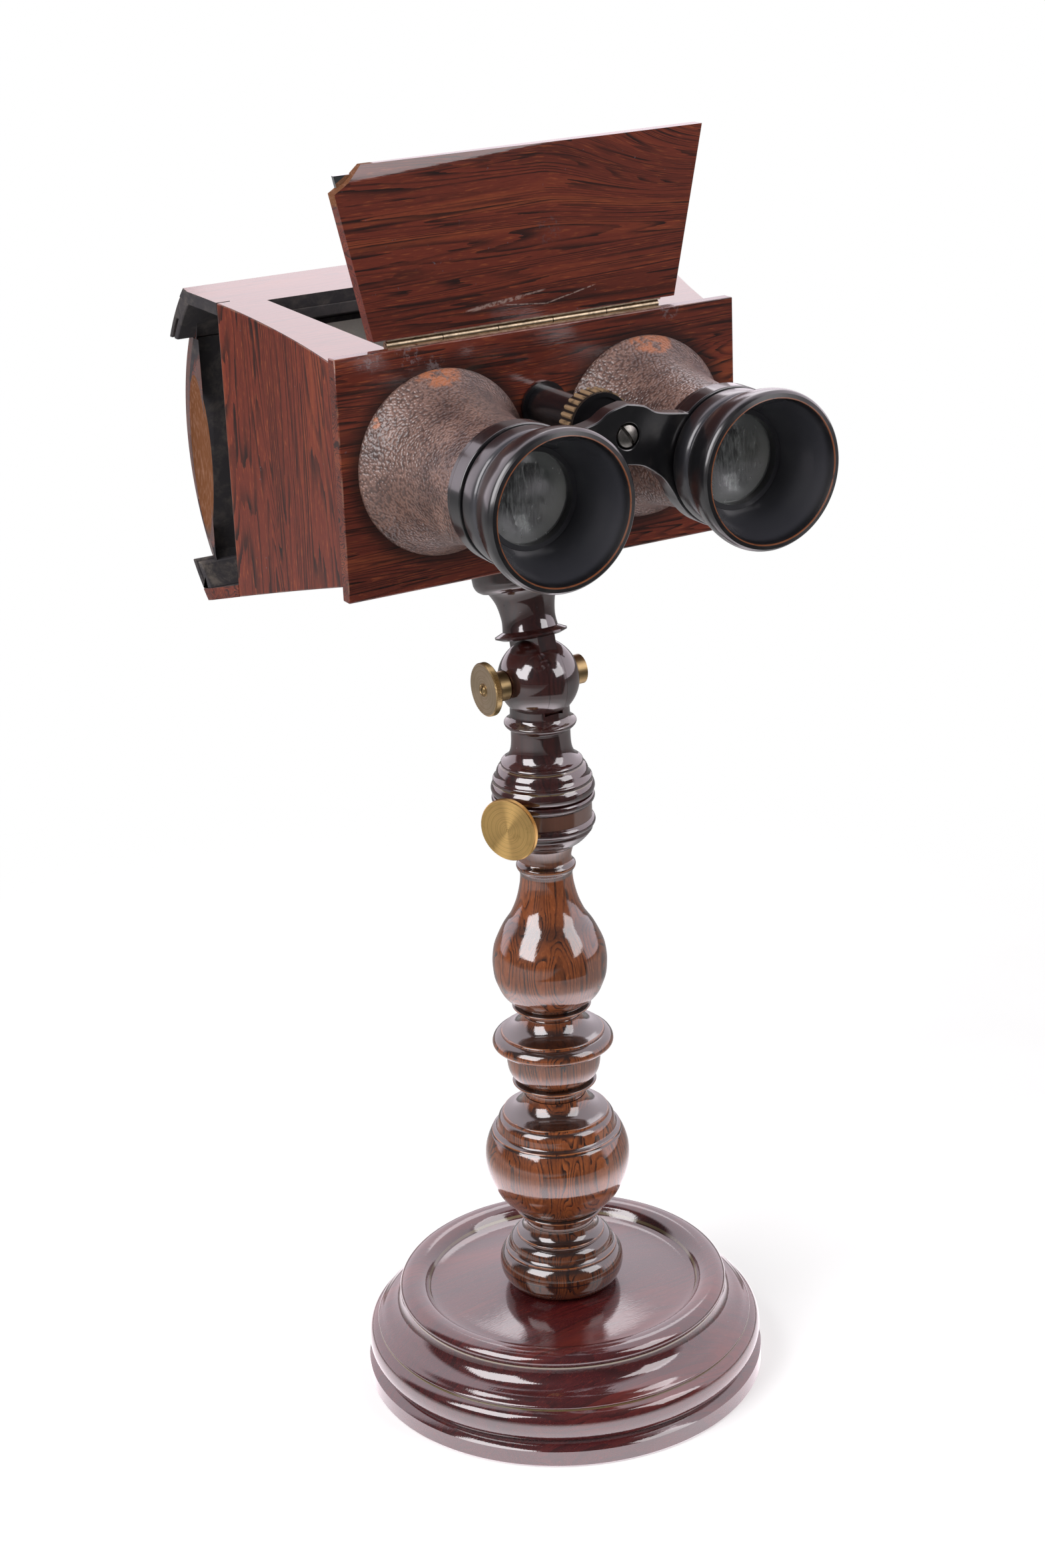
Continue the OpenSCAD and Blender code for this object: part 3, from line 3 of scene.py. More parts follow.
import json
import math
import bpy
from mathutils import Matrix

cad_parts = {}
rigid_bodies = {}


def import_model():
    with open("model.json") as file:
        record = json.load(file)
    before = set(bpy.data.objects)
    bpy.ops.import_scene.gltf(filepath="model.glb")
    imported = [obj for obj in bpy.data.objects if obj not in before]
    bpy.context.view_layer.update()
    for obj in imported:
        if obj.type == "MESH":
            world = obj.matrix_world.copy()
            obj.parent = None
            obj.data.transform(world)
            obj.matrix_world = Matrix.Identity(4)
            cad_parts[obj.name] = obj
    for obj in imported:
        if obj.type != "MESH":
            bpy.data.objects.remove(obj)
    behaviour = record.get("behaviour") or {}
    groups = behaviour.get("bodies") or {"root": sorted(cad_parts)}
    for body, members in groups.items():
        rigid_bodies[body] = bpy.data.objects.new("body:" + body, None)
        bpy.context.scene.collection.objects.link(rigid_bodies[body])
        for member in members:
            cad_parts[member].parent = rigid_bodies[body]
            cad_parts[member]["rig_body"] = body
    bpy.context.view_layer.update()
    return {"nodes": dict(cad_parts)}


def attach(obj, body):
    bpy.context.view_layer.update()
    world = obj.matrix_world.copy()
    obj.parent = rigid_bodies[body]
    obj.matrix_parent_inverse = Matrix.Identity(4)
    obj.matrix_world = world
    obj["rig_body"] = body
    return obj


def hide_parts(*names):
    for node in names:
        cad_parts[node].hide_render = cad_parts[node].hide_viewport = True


bl_info = {
    "name": "Pedestal stereoscope",
    "version": (1, 0, 0),
    "blender": (4, 5, 0),
    "location": "View3D > Sidebar > Stereoscope",
    "description": "Dresses the packed stereoscope in polished rosewood, leather, lacquer and brass",
    "category": "Object",
}

import bmesh
import bpy
from bpy.props import FloatProperty, FloatVectorProperty, IntProperty, PointerProperty
from mathutils import Matrix, Vector

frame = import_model()
NODES = frame["nodes"]


def hex_color(code):
    """Linear red, green, blue and alpha of an sRGB hex value"""
    parts = [int(code[i:i + 2], 16) / 255 for i in (1, 3, 5)]
    return tuple(c / 12.92 if c <= 0.04045 else ((c + 0.055) / 1.055) ** 2.4 for c in parts) + (1.0,)


# Sizes and colours

def colour(name, description, code):
    """A colour property with its default given as an sRGB hex value"""
    return FloatVectorProperty(name=name, description=description, subtype="COLOR", size=4,
                               min=0.0, max=1.0, default=hex_color(code))


class WoodColours(bpy.types.PropertyGroup):
    board_dark: colour("Board lines", "Near-black lines of the rosewood boards", "#190705")
    board_mid: colour("Board brown", "Body colour of the rosewood boards", "#6b2a1a")
    board_light: colour("Board orange", "Bright fibres of the rosewood boards", "#a5562c")
    turned_dark: colour("Column lines", "Near-black lines of the turned column", "#160907")
    turned_mid: colour("Column brown", "Body colour of the turned column", "#84451f")
    turned_light: colour("Column orange", "Bright fibres of the turned column", "#b86a35")
    base_dark: colour("Base lines", "Dark lines of the base", "#1a0508")
    base_mid: colour("Base red", "Body colour of the base", "#4a1215")
    base_light: colour("Base fibres", "Bright fibres of the base", "#7a2c1d")
    stem_dark: colour("Bell lines", "Dark lines of collar, bell, ball and socket", "#0f0506")
    stem_mid: colour("Bell brown", "Body colour of collar, bell, ball and socket", "#36120f")
    stem_light: colour("Bell fibres", "Bright fibres of collar, bell, ball and socket", "#54201a")
    neck: colour("Plain brown", "Plain brown wood where the polish is thin", "#6a4534")
    worn: colour("Worn edge", "Bare wood where the polish has gone from an edge", "#9a7460")
    worn_ring: colour("Worn ring", "Orange wood bared on the turned edges", "#a4622f")
    raw: colour("Raw wood", "Unpolished wood of the finger scoops and the chip", "#6c4328")
    ebony: colour("Ebonised wood", "Dull black stain of the rails and the inside", "#3a383a")
    dust: colour("Dust", "Grey dust on ledges and in corners", "#82796f")
    # Painted shade: black laid round the leather bells on the front board and in the column's grooves
    painted_shade: colour("Painted shade", "Black dirt round the bells and in the steps", "#120b0a")
    wax: colour("Wax", "Old polish left in the turned grooves", "#857a55")
    nick: colour("Nicks", "Grey bloom of small nicks in the polish", "#5d5a62")
    chalk: colour("Chalky spots", "Grey spots along the top of the front board", "#7d7274")
    scratch: colour("Scratches", "Pale scratches on the lid", "#b09a90")
    smudge: colour("Smudge", "Grey smudge in the middle of the lid", "#4f4a50")


class FittingColours(bpy.types.PropertyGroup):
    leather: colour("Leather", "Body colour of the leather covers", "#57423c")
    leather_light: colour("Leather mottle", "Lighter mottle of the leather", "#8e6f63")
    leather_scuff: colour("Leather scuffs", "Tan scuffs on the rims", "#a4633f")
    leather_rubbed: colour("Rubbed leather", "Smooth brown leather low on the covers", "#6d4a3a")
    leather_seam: colour("Leather grain", "Dark lines between the leather's pebbles", "#241816")
    lacquer: colour("Black lacquer", "Lacquer of eyecups, tubes and bridge", "#101013")
    lacquer_worn: colour("Worn lacquer", "Brown line where the lacquer has worn through", "#8a4f2c")
    # Greyer lacquer inside the mouths: partly dust, partly a painted sheen
    lacquer_dust_and_sheen: colour("Dusty lacquer", "Greyer lacquer inside the eyecups' mouths", "#3a3b42")
    wheel_worn: colour("Worn wheel", "Tan brass on the crests of the wheel's ribs", "#9a7f60")
    brass: colour("Brass", "Lacquered brass of the clamp knob", "#deb876")
    brass_old: colour("Aged brass", "Brass of the hinge and the tilt knob", "#c4b196")
    brass_rim: colour("Knurled brass", "Brass of the tilt knob's rim and its nut", "#a68f68")
    brass_ring: colour("Brass rings", "Darker rings left by the lathe", "#8a6a34")
    brass_speck: colour("Brass specks", "Dark specks on the brass", "#3c2f22")
    tarnish: colour("Tarnish", "Brown clouds on the brass", "#7a5a2a")
    steel: colour("Steel", "Steel of the screws", "#a3a09a")
    lens: colour("Lens", "Tint of the lens glass", "#dfe6e4")
    lens_dust: colour("Lens dust", "Grey film on the lenses", "#a3a3a0")
    ground: colour("Ground glass", "Body colour of the ground glass", "#e9e6dc")
    mirror: colour("Mirror", "Silvering of the lid's mirror", "#d3d6d8")
    foxing: colour("Foxing", "Spots in the mirror's silver", "#57534b")


class PieceSizes(bpy.types.PropertyGroup):
    turned_steps: IntProperty(name="Turning steps", description="Facets round a turned piece",
                              default=160, min=48, max=256)
    board_edge: FloatProperty(name="Board edge", description="Rounding of a board's edges",
                              default=0.0004, min=0.0001, max=0.001, unit="LENGTH", precision=5)
    bridge_edge: FloatProperty(name="Bridge edge", description="Rounding of the bridge's edges",
                               default=0.0005, min=0.0002, max=0.001, unit="LENGTH", precision=5)
    knurl_pitch: FloatProperty(name="Knurl", description="Distance between the ribs on a knob's rim",
                               default=0.00045, min=0.0003, max=0.001, unit="LENGTH", precision=5)
    knurl_depth: FloatProperty(name="Knurl depth", description="Depth of the ribs on a knob's rim",
                               default=0.0002, min=0.00005, max=0.0003, unit="LENGTH", precision=5)


class StageSizes(bpy.types.PropertyGroup):
    floor_size: FloatProperty(name="Floor", description="Width of the pale floor",
                              default=12.0, min=2.0, unit="LENGTH")
    lens_length: FloatProperty(name="Lens", description="Focal length on a 36 mm long side, in millimetres",
                               default=65.66, min=20.0)
    left_level: FloatProperty(name="Left softbox", description="Radiance of the softbox at the left",
                              default=5.6, min=0.0)
    front_level: FloatProperty(name="Front softbox", description="Radiance of the softbox at the right front",
                               default=3.6, min=0.0)
    back_level: FloatProperty(name="Back panel", description="Radiance of the panel above and behind",
                              default=1.85, min=0.0)
    room_level: FloatProperty(name="Room", description="Level of the plain light all round",
                              default=0.3, min=0.0)
    paper_level: FloatProperty(name="Backdrop", description="Level of the backdrop seen in polished faces",
                               default=1.5, min=0.0)


# Places on the model in metres, as the part's source has them

LENS_HEIGHT = 0.342687
LENS_SIDES = {"left": -0.037, "right": 0.037}
FOCUS_PLACE = (0, 0, 0.355087)
SCREW_PLACE = (0, -0.0612, 0.355087)
CLAMP_PLACE, CLAMP_TURN = (0, 0, 0.2145), math.radians(208)
TILT_PLACE = (0, 0, 0.261037)

# The angle under which two faces of a board count as one, and the distance at which its corners join
FLAT = math.radians(0.4)
TOUCHING = 2e-6


# Modelling helpers

def merged_copy(node):
    """The mesh of a CAD node with its loose triangles joined"""
    bm = bmesh.new()
    bm.from_mesh(NODES[node].data)
    bmesh.ops.remove_doubles(bm, verts=bm.verts, dist=TOUCHING)
    return bm


def turned_copy(node, centre=(0, 0, 0), axis=(0, 0, 1), toward=(1, 0, 0), steps=None):
    """A turned node's section on one side of its axis, spun again in even steps"""
    bm = merged_copy(node)
    centre, axis, toward = Vector(centre), Vector(axis), Vector(toward)
    bmesh.ops.bisect_plane(bm, geom=everything(bm), dist=1e-7, plane_co=centre,
                           plane_no=axis.cross(toward), clear_inner=True, clear_outer=True)
    behind = [v for v in bm.verts if (v.co - centre).dot(toward) < -1e-7]
    bmesh.ops.delete(bm, geom=behind, context="VERTS")
    bmesh.ops.delete(bm, geom=bm.faces[:], context="FACES_ONLY")
    bmesh.ops.remove_doubles(bm, verts=bm.verts, dist=TOUCHING)
    if steps is None:
        steps = bpy.context.scene.stereo_sizes.turned_steps
    bmesh.ops.spin(bm, geom=bm.verts[:] + bm.edges[:], cent=centre, axis=axis, angle=2 * math.pi,
                   steps=steps, use_merge=True)
    bmesh.ops.remove_doubles(bm, verts=bm.verts, dist=TOUCHING)
    bmesh.ops.recalc_face_normals(bm, faces=bm.faces)
    return bm


def everything(bm):
    """All corners, edges and faces"""
    return bm.verts[:] + bm.edges[:] + bm.faces[:]


def open_edges(bm):
    """The edges with a face on one side only"""
    return [edge for edge in bm.edges if edge.is_boundary]


def new_corners(grown):
    """The corners that an extrusion has made"""
    return [item for item in grown["geom"] if isinstance(item, bmesh.types.BMVert)]


def arm_from(place, centre, axis):
    """The arm that reaches square from an axis to a place"""
    arm = place - centre
    return arm - axis * arm.dot(axis)


def lathe(section, centre, axis, side, steps):
    """A solid spun from its section, given as distances from the axis and places along it"""
    bm = bmesh.new()
    verts = [bm.verts.new(centre + side * away + axis * along) for away, along in section]
    for first, second in zip(verts, verts[1:]):
        bm.edges.new((first, second))
    bmesh.ops.spin(bm, geom=bm.verts[:] + bm.edges[:], cent=centre, axis=axis, angle=2 * math.pi,
                   steps=steps, use_merge=True)
    bmesh.ops.remove_doubles(bm, verts=bm.verts, dist=1e-6)
    return bm


def around_map(bm, centre, axis):
    """A UV map whose first direction runs round the axis, for the sheen of metal faced on a lathe"""
    layer = bm.loops.layers.uv.new("Around")
    side = axis.orthogonal().normalized()
    other = axis.cross(side)
    for face in bm.faces:
        arm = face.calc_center_median() - centre
        start = math.atan2(arm.dot(other), arm.dot(side))
        for loop in face.loops:
            arm = loop.vert.co - centre
            away = arm_from(loop.vert.co, centre, axis).length
            angle = math.atan2(arm.dot(other), arm.dot(side)) if away > 1e-6 else start
            if angle - start > math.pi:
                angle -= 2 * math.pi
            if start - angle > math.pi:
                angle += 2 * math.pi
            loop[layer].uv = (angle / (2 * math.pi), away * 100)


def made(name, bm, materials=()):
    """A new object in the scene with its mesh and materials"""
    mesh = bpy.data.meshes.new(name)
    bm.to_mesh(mesh)
    bm.free()
    for material in materials:
        mesh.materials.append(material)
    obj = bpy.data.objects.new(name, mesh)
    bpy.context.scene.collection.objects.link(obj)
    return obj


def piece(name, bm, materials, body, nodes=(), sharp=32.0):
    """A finished piece: smooth faces, sharp edges by angle, its materials, its body and its nodes"""
    for face in bm.faces:
        face.smooth = True
    for edge in bm.edges:
        edge.smooth = len(edge.link_faces) == 2 and edge.calc_face_angle(0.0) < math.radians(sharp)
    obj = made(name, bm, materials)
    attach(obj, body)
    if nodes:
        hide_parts(*nodes)
    return obj


def body_of(node):
    """The CAD body that a node rides on"""
    return NODES[node]["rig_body"]


def dressed(node, suffix, bm, materials, sharp=32.0):
    """A finished piece that takes the place of its CAD node, on that node's body"""
    return piece(node + suffix, bm, materials, body_of(node), [node], sharp)


def rounded(obj, width, segments=2, angle=28.0, material=-1):
    """Rounds a piece's sharp edges"""
    bevel = obj.modifiers.new("Rounded edges", "BEVEL")
    bevel.width = width
    bevel.segments = segments
    bevel.limit_method = "ANGLE"
    bevel.angle_limit = math.radians(angle)
    bevel.harden_normals = False
    bevel.material = material
    return obj


def board(node, material, worn):
    """A board from its node: flat faces joined and edges rounded, with worn wood on the rounding"""
    bm = merged_copy(node)
    if node == "roof_board":
        spread_veneer(bm)
    bmesh.ops.dissolve_limit(bm, angle_limit=FLAT, verts=bm.verts, edges=bm.edges)
    obj = dressed(node, "_board", bm, [material, worn])
    return rounded(obj, bpy.context.scene.stereo_sizes.board_edge, material=1)


def spread_veneer(bm):
    """Spreads the roof's veneer over the tops of the side walls, as far back as the rail"""
    outside, rail = 0.0575, 0.0535
    wall, veneer = 0.0044, 0.00006
    for vert in bm.verts:
        if abs(vert.co.x) > outside and vert.co.y < rail:
            vert.co.x += math.copysign(wall, vert.co.x)
    bmesh.ops.translate(bm, verts=bm.verts, vec=(0, 0, veneer))


def turning(node, material, **place):
    """A turned piece from its node"""
    return dressed(node, "_turned", turned_copy(node, **place), [material])


def fitting(node, material, sharp=32.0):
    """A fitting from its node: triangles merged and shaded smooth"""
    return dressed(node, "_fitting", merged_copy(node), [material], sharp)


def screw_head(name, body, metal, centre, axis, section, cut, side, nodes=()):
    """A domed screw head spun from its section, with a slot of a half width, reach and depth cut across it"""
    half, reach, depth = cut
    bm = lathe(section, centre, axis, side, 32)
    cross = (axis.cross(side) * 0.55 + side * 0.84).normalized()
    for way in (1, -1):
        bmesh.ops.bisect_plane(bm, geom=everything(bm), dist=1e-7,
                               plane_co=centre + cross * half * way, plane_no=cross)
    strip = []
    for face in bm.faces:
        middle = face.calc_center_median()
        if abs((middle - centre).dot(cross)) < half * 0.95 and arm_from(middle, centre, axis).length < reach:
            strip.append(face)
    grown = bmesh.ops.extrude_face_region(bm, geom=strip)
    sunk = new_corners(grown)
    bmesh.ops.delete(bm, geom=strip, context="FACES")
    bmesh.ops.translate(bm, verts=sunk, vec=-axis * depth)
    bmesh.ops.holes_fill(bm, edges=open_edges(bm), sides=0)
    bmesh.ops.recalc_face_normals(bm, faces=bm.faces)
    return piece(name, bm, [metal], body, nodes, sharp=30.0)


# Material helpers

# The main setting of each kind of node that has one, and words for the kinds used most

CHOICES = {"Math": "operation", "VectorMath": "operation", "Mix": "data_type",
           "MapRange": "interpolation_type"}
TIMES, PLUS, LESS = "Math.MULTIPLY", "Math.ADD", "Math.SUBTRACT"
LARGER, SMALLER = "Math.MAXIMUM", "Math.MINIMUM"
STEP, SPREAD, BLEND, PARTS = "MapRange.SMOOTHSTEP", "MapRange.LINEAR", "Mix.RGBA", "SeparateXYZ"


def add(tree, kind, *values, inputs=None, stops=None, **settings):
    """Adds a shader node with its settings, colour stops, and values or links on its inputs. A dot parts the
    kind from its main setting; values go to the inputs in use in their order, inputs to the named ones"""
    kind, _, choice = kind.partition(".")
    node = tree.nodes.new("ShaderNode" + kind)
    if choice:
        setattr(node, CHOICES[kind], choice)
    for name, value in settings.items():
        setattr(node, name, value)
    if stops:
        ramp = node.color_ramp.elements
        while len(ramp) < len(stops):
            ramp.new(0.5)
        for element, (place, shade) in zip(ramp, stops):
            element.position = place
            element.color = shade
    used = [socket for socket in node.inputs if socket.enabled]
    fill(tree, zip(used, values))
    fill(tree, [(node.inputs[name], value) for name, value in (inputs or {}).items()])
    return node


def fill(tree, pairs):
    """Sets each socket to its value, or links it to an output or to a node's first output in use"""
    for socket, value in pairs:
        if isinstance(value, bpy.types.Node):
            value = next(output for output in value.outputs if output.enabled)
        if isinstance(value, bpy.types.NodeSocket):
            tree.links.new(value, socket)
        else:
            socket.default_value = value


def surface(tree, shader, **inputs):
    """Fills the shader's inputs, whose names are written with an underscore for each space"""
    fill(tree, [(shader.inputs[name.replace("_", " ")], value) for name, value in inputs.items()])


def laid(tree, shade, colour, where, strong):
    """A shade with a colour laid over it in places, at most as strong as given"""
    return add(tree, BLEND, add(tree, TIMES, where, strong), shade, colour)


def cleared(owner):
    """The node tree of a material or world, emptied"""
    owner.use_nodes = True
    owner.node_tree.nodes.clear()
    return owner.node_tree


def new_material(name):
    """A node material with its shader and output; returns the material, its tree and the shader"""
    material = bpy.data.materials.new(name)
    tree = cleared(material)
    shader = add(tree, "BsdfPrincipled")
    add(tree, "OutputMaterial", shader)
    return material, tree, shader


def level(value):
    """A grey colour stop"""
    return (value, value, value, 1.0)


def millimetres(tree, run=(1, 1, 1), shift=(0, 0, 0)):
    """Object coordinates in millimetres, shortened along the grain by run"""
    place = add(tree, "TexCoord")
    return add(tree, "Mapping", inputs={"Vector": place.outputs["Object"],
                                        "Location": shift, "Scale": tuple(1000 * r for r in run)})


def cloud(tree, where, size, detail=3.0, distortion=0.0, rough=0.5):
    """Noise whose blotches are about the given size in millimetres"""
    return add(tree, "TexNoise", inputs={"Vector": where, "Scale": 1 / size,
                                         "Detail": detail, "Roughness": rough, "Distortion": distortion})


def facing(tree, direction, low=0.5, high=0.8):
    """Where the surface faces a direction of the piece itself"""
    normal = add(tree, "TexCoord").outputs["Normal"]
    dot = add(tree, "VectorMath.DOT_PRODUCT", normal, direction)
    return add(tree, STEP, dot, low, high)


def between(tree, value, low, high, soft):
    """A band from low to high with soft edges"""
    return add(tree, TIMES, add(tree, STEP, value, low - soft, low + soft),
               add(tree, STEP, value, high + soft, high - soft))


def around(tree, centre=(0, 0, 0), along="Z"):
    """Radius from an axis and place along it, in millimetres, as one vector for marks on turned pieces"""
    arm = add(tree, PARTS,
              add(tree, "VectorMath.SUBTRACT", millimetres(tree), tuple(1000 * c for c in centre))).outputs
    first, second, third = {"Z": (0, 1, 2), "Y": (0, 2, 1)}[along]
    flat = add(tree, "CombineXYZ", arm[first], arm[second])
    radius = add(tree, "VectorMath.LENGTH", flat)
    return add(tree, "CombineXYZ", radius, 0.0, arm[third])


def nearest(tree, where, places):
    """Distance in millimetres to the nearest of some places; a place may carry its own size"""
    best = None
    for place in places:
        far = add(tree, "VectorMath.DISTANCE", where, tuple(place[:3]))
        if len(place) > 3:
            far = add(tree, TIMES, far, 1 / place[3])
        best = far if best is None else add(tree, SMALLER, best, far)
    return best


def ring_marks(tree, rings, width, broken=0.0, centre=(0, 0, 0), along="Z"):
    """Thin marks round a turned piece at the given radius and height pairs"""
    gap = nearest(tree, around(tree, centre, along), [(radius, 0, height) for radius, height in rings])
    mark = add(tree, STEP, gap, width / 2, width / 4)
    if broken:
        worn = add(tree, STEP,
                   cloud(tree, millimetres(tree), 5.0, 5.0, 0.4, 0.7), broken - 0.1, broken + 0.06)
        mark = add(tree, TIMES, mark, worn)
    return mark


# Wood. Old rosewood is sawn or turned, grained along its length: a red-brown ground, near-black lines half a
# millimetre wide every few millimetres, short orange fibres and dark pores, all under glossy French polish

def figure(tree, run, shift, dark, mid, light, line=2.4, strong=0.8, bend=None):
    """Rosewood's colour; line is the usual distance between the dark lines in millimetres"""
    where = millimetres(tree, run, shift)
    if bend:
        where = bend(tree, where)
    tone = cloud(tree, where, line * 5, 4.0, 0.6, 0.55)
    shade = add(tree, "ValToRGB",
                tone, stops=[(0.3, tuple(0.66 * c for c in mid[:3]) + (1,)), (0.55, mid), (0.95, light)])
    short = add(tree, "VectorMath.MULTIPLY", where, tuple(2.0 if r < 0.2 else 1.0 for r in run))
    fibre = cloud(tree, short, 0.42, 2.0, 0.3)
    shade = laid(tree, shade, light, add(tree, STEP, fibre, 0.56, 0.74), 0.42)
    shade = laid(tree, shade, dark, add(tree, STEP, fibre, 0.42, 0.26), 0.38)
    field = cloud(tree, where, line * 7, 2.0, 0.5, 0.5)
    ripple = cloud(tree, where, line * 0.8, 3.0, 0.4)
    phase = add(tree, PLUS, add(tree, TIMES, field, 30.0), add(tree, TIMES, ripple, 1.1))
    ring = add(tree, STEP, add(tree, "Math.FRACT", phase), 0.45, 0.9)
    uneven = add(tree, SPREAD, add(tree, STEP, ripple, 0.62, 0.38), 0.0, 1.0, 0.4)
    wide = add(tree, STEP, cloud(tree, where, line * 1.8, 4.0, 0.8, 0.55), 0.38, 0.31)
    lines = add(tree, LARGER, add(tree, TIMES, ring, uneven), add(tree, TIMES, wide, 0.9))
    return laid(tree, shade, dark, lines, strong), fibre


def polished_wood(name, run, shades, shift=(0, 0, 0), line=2.4, strong=0.8, tint=None, dull=None, bare=None,
                  bend=None, polish=1.6):
    """Polished wood. tint recolours it, dull is where the polish is black stain, bare where wood is raw"""
    woods = bpy.context.scene.stereo_woods
    material, tree, shader = new_material(name)
    shade, fibre = figure(tree, run, shift, *shades, line=line, strong=strong, bend=bend)
    nick = add(tree, TIMES, add(tree, STEP, cloud(tree, millimetres(tree), 1.7, 3.0), 0.7, 0.76),
               add(tree, STEP, cloud(tree, millimetres(tree, shift=(5, 9, 2)), 14.0, 2.0), 0.52, 0.6))
    shade = laid(tree, shade, woods.nick, nick, 0.6)
    if tint:
        shade = tint(tree, shade)
    gone = None
    if bare:
        open_wood = bare(tree)
        grain = laid(tree, woods.raw, woods.worn, add(tree, STEP, fibre, 0.45, 0.7), 0.4)
        shade = add(tree, BLEND, open_wood, shade, grain)
        gone = open_wood
    if dull:
        black = dull(tree)
        dusty = add(tree, STEP, cloud(tree, millimetres(tree), 7.0, 6.0, 0.4, 0.7), 0.42, 0.75)
        lying = add(tree, SPREAD, facing(tree, (0, 0, 1), 0.2, 0.9), 0.0, 1.0, 0.3, 0.85)
        stain = add(tree, BLEND, add(tree, TIMES, dusty, lying), woods.ebony, woods.dust)
        shade = add(tree, BLEND, black, shade, stain)
        gone = black if gone is None else add(tree, LARGER, gone, black)
    haze = add(tree, STEP, cloud(tree, millimetres(tree), 16.0, 4.0, 0.3, 0.6), 0.4, 0.7)
    if gone is None:
        surface(tree, shader, Coat_Weight=1.0, Roughness=0.5)
    else:
        coat = add(tree, SPREAD, gone, 0.0, 1.0, 1.0, 0.0)
        rough = add(tree, SPREAD, gone, 0.0, 1.0, 0.5, 0.8)
        surface(tree, shader, Coat_Weight=coat, Roughness=rough)
    height = add(tree, BLEND, 0.25, fibre, haze)
    bump = add(tree, "Bump", inputs={"Height": height, "Strength": 0.1, "Distance": 0.0002})
    surface(tree, shader, Base_Color=shade,
            Specular_IOR_Level=0.2, Coat_Roughness=0.07, Coat_IOR=polish, Normal=bump, Coat_Normal=bump)
    return material


def board_wood(name, run, shift=(0, 0, 0), worn=False, **more):
    """Rosewood of the case's boards; worn is the rubbed rounding along their edges"""
    woods = bpy.context.scene.stereo_woods
    if worn:
        inner = more.get("tint")

        def rubbed(tree, shade):
            if inner:
                shade = inner(tree, shade)
            patch = add(tree, STEP, cloud(tree, millimetres(tree), 9.0, 5.0, 0.5, 0.7), 0.42, 0.62)
            return laid(tree, shade, woods.worn, patch, 0.42)

        more["tint"] = rubbed
    shades = (woods.board_dark, woods.board_mid, woods.board_light)
    return polished_wood(name, run, shades, shift, 1.9, 0.95, **more)


# Edges bared, grooves darkened with painted shade, and grooves filled with old wax, as radius and height in
# millimetres

BARED_RINGS = [(13.7, 142.0), (17.75, 132.4), (21.0, 128.2), (14.7, 113.0), (18.45, 101.2), (22.6, 94.2),
               (15.6, 62.8), (15.4, 53.4), (19.7, 47.4), (10.2, 194.2)]
SHADED_GROOVE_RINGS = [(18.9, 126.2), (17.9, 101.9), (15.2, 53.0), (19.4, 48.0), (21.95, 41.3), (13.4, 60.5),
               (22.9, 93.6), (12.6, 111.5), (11.6, 139.8)]
WAXED_RINGS = [(14.2, 231.0), (16.8, 225.2)]
BASE_RINGS = [(48.1, 32.6), (57.5, 31.0), (66.7, 20.3)]


def column_wood(name, shift=(0, 0, 0)):
    """Turned rosewood of the column, grained upwards, with painted shade on its ledges and in its grooves,
    and bared along its edges
    """
    woods = bpy.context.scene.stereo_woods

    def turned(tree, shade):
        height = add(tree, PARTS, millimetres(tree)).outputs[2]
        plain = add(tree, BLEND, 0.75, shade, woods.neck)
        shade = add(tree, BLEND, add(tree, STEP, height, 195.5, 196.5), shade, plain)
        shade = laid(tree, shade, woods.turned_dark, add(tree, STEP, height, 63.0, 58.0), 0.5)
        # Painted shade: faces that look up are darkened towards the line colour, and the neck ring from 191
        # to 195 mm is darkened too
        shaded_ledge = add(tree, TIMES, facing(tree, (0, 0, 1), 0.3, 0.72), 0.9)
        rim = between(tree, height, 191.0, 195.0, 0.4)
        shade = add(tree, BLEND,
                    add(tree, LARGER, shaded_ledge, add(tree, TIMES, rim, 0.6)), shade, woods.turned_dark)
        # Painted shade: near-black lines in the column's grooves and incised lines, where shade falls
        shade = laid(tree, shade, woods.painted_shade, ring_marks(tree, SHADED_GROOVE_RINGS, 0.9), 0.8)
        return laid(tree, shade, woods.worn_ring, ring_marks(tree, BARED_RINGS, 0.5, 0.46), 0.75)

    return polished_wood(name, (1, 1, 0.07), (woods.turned_dark, woods.turned_mid, woods.turned_light), shift,
                         2.8, 0.92, tint=turned, polish=2.0)


def dark_turned_wood():
    """Very dark turned wood of collar, bell, ball and socket, with a plain brown band round the collar"""
    woods = bpy.context.scene.stereo_woods

    def dusted(tree, shade):
        height = add(tree, PARTS, millimetres(tree)).outputs[2]
        plain = add(tree, BLEND, 0.7, shade, woods.neck)
        shade = add(tree, BLEND, between(tree, height, 212.2, 217.2, 0.3), shade, plain)
        grey = add(tree, TIMES,
                   add(tree, STEP, cloud(tree, millimetres(tree), 5.0, 5.0, 0.4, 0.7), 0.36, 0.66), 0.5)
        cove = add(tree, TIMES, between(tree, height, 245.9, 250.5, 0.5), facing(tree, (0, 0, 1), 0.1, 0.6))
        shade = laid(tree, shade, woods.dust, cove, grey)
        return laid(tree, shade, woods.wax, ring_marks(tree, WAXED_RINGS, 0.6, 0.4), 0.4)

    shades = (woods.stem_dark, woods.stem_mid, woods.stem_light)
    return polished_wood("dark turned wood", (1, 1, 0.08), shades, line=2.6, strong=0.7, tint=dusted,
                         polish=2.1)


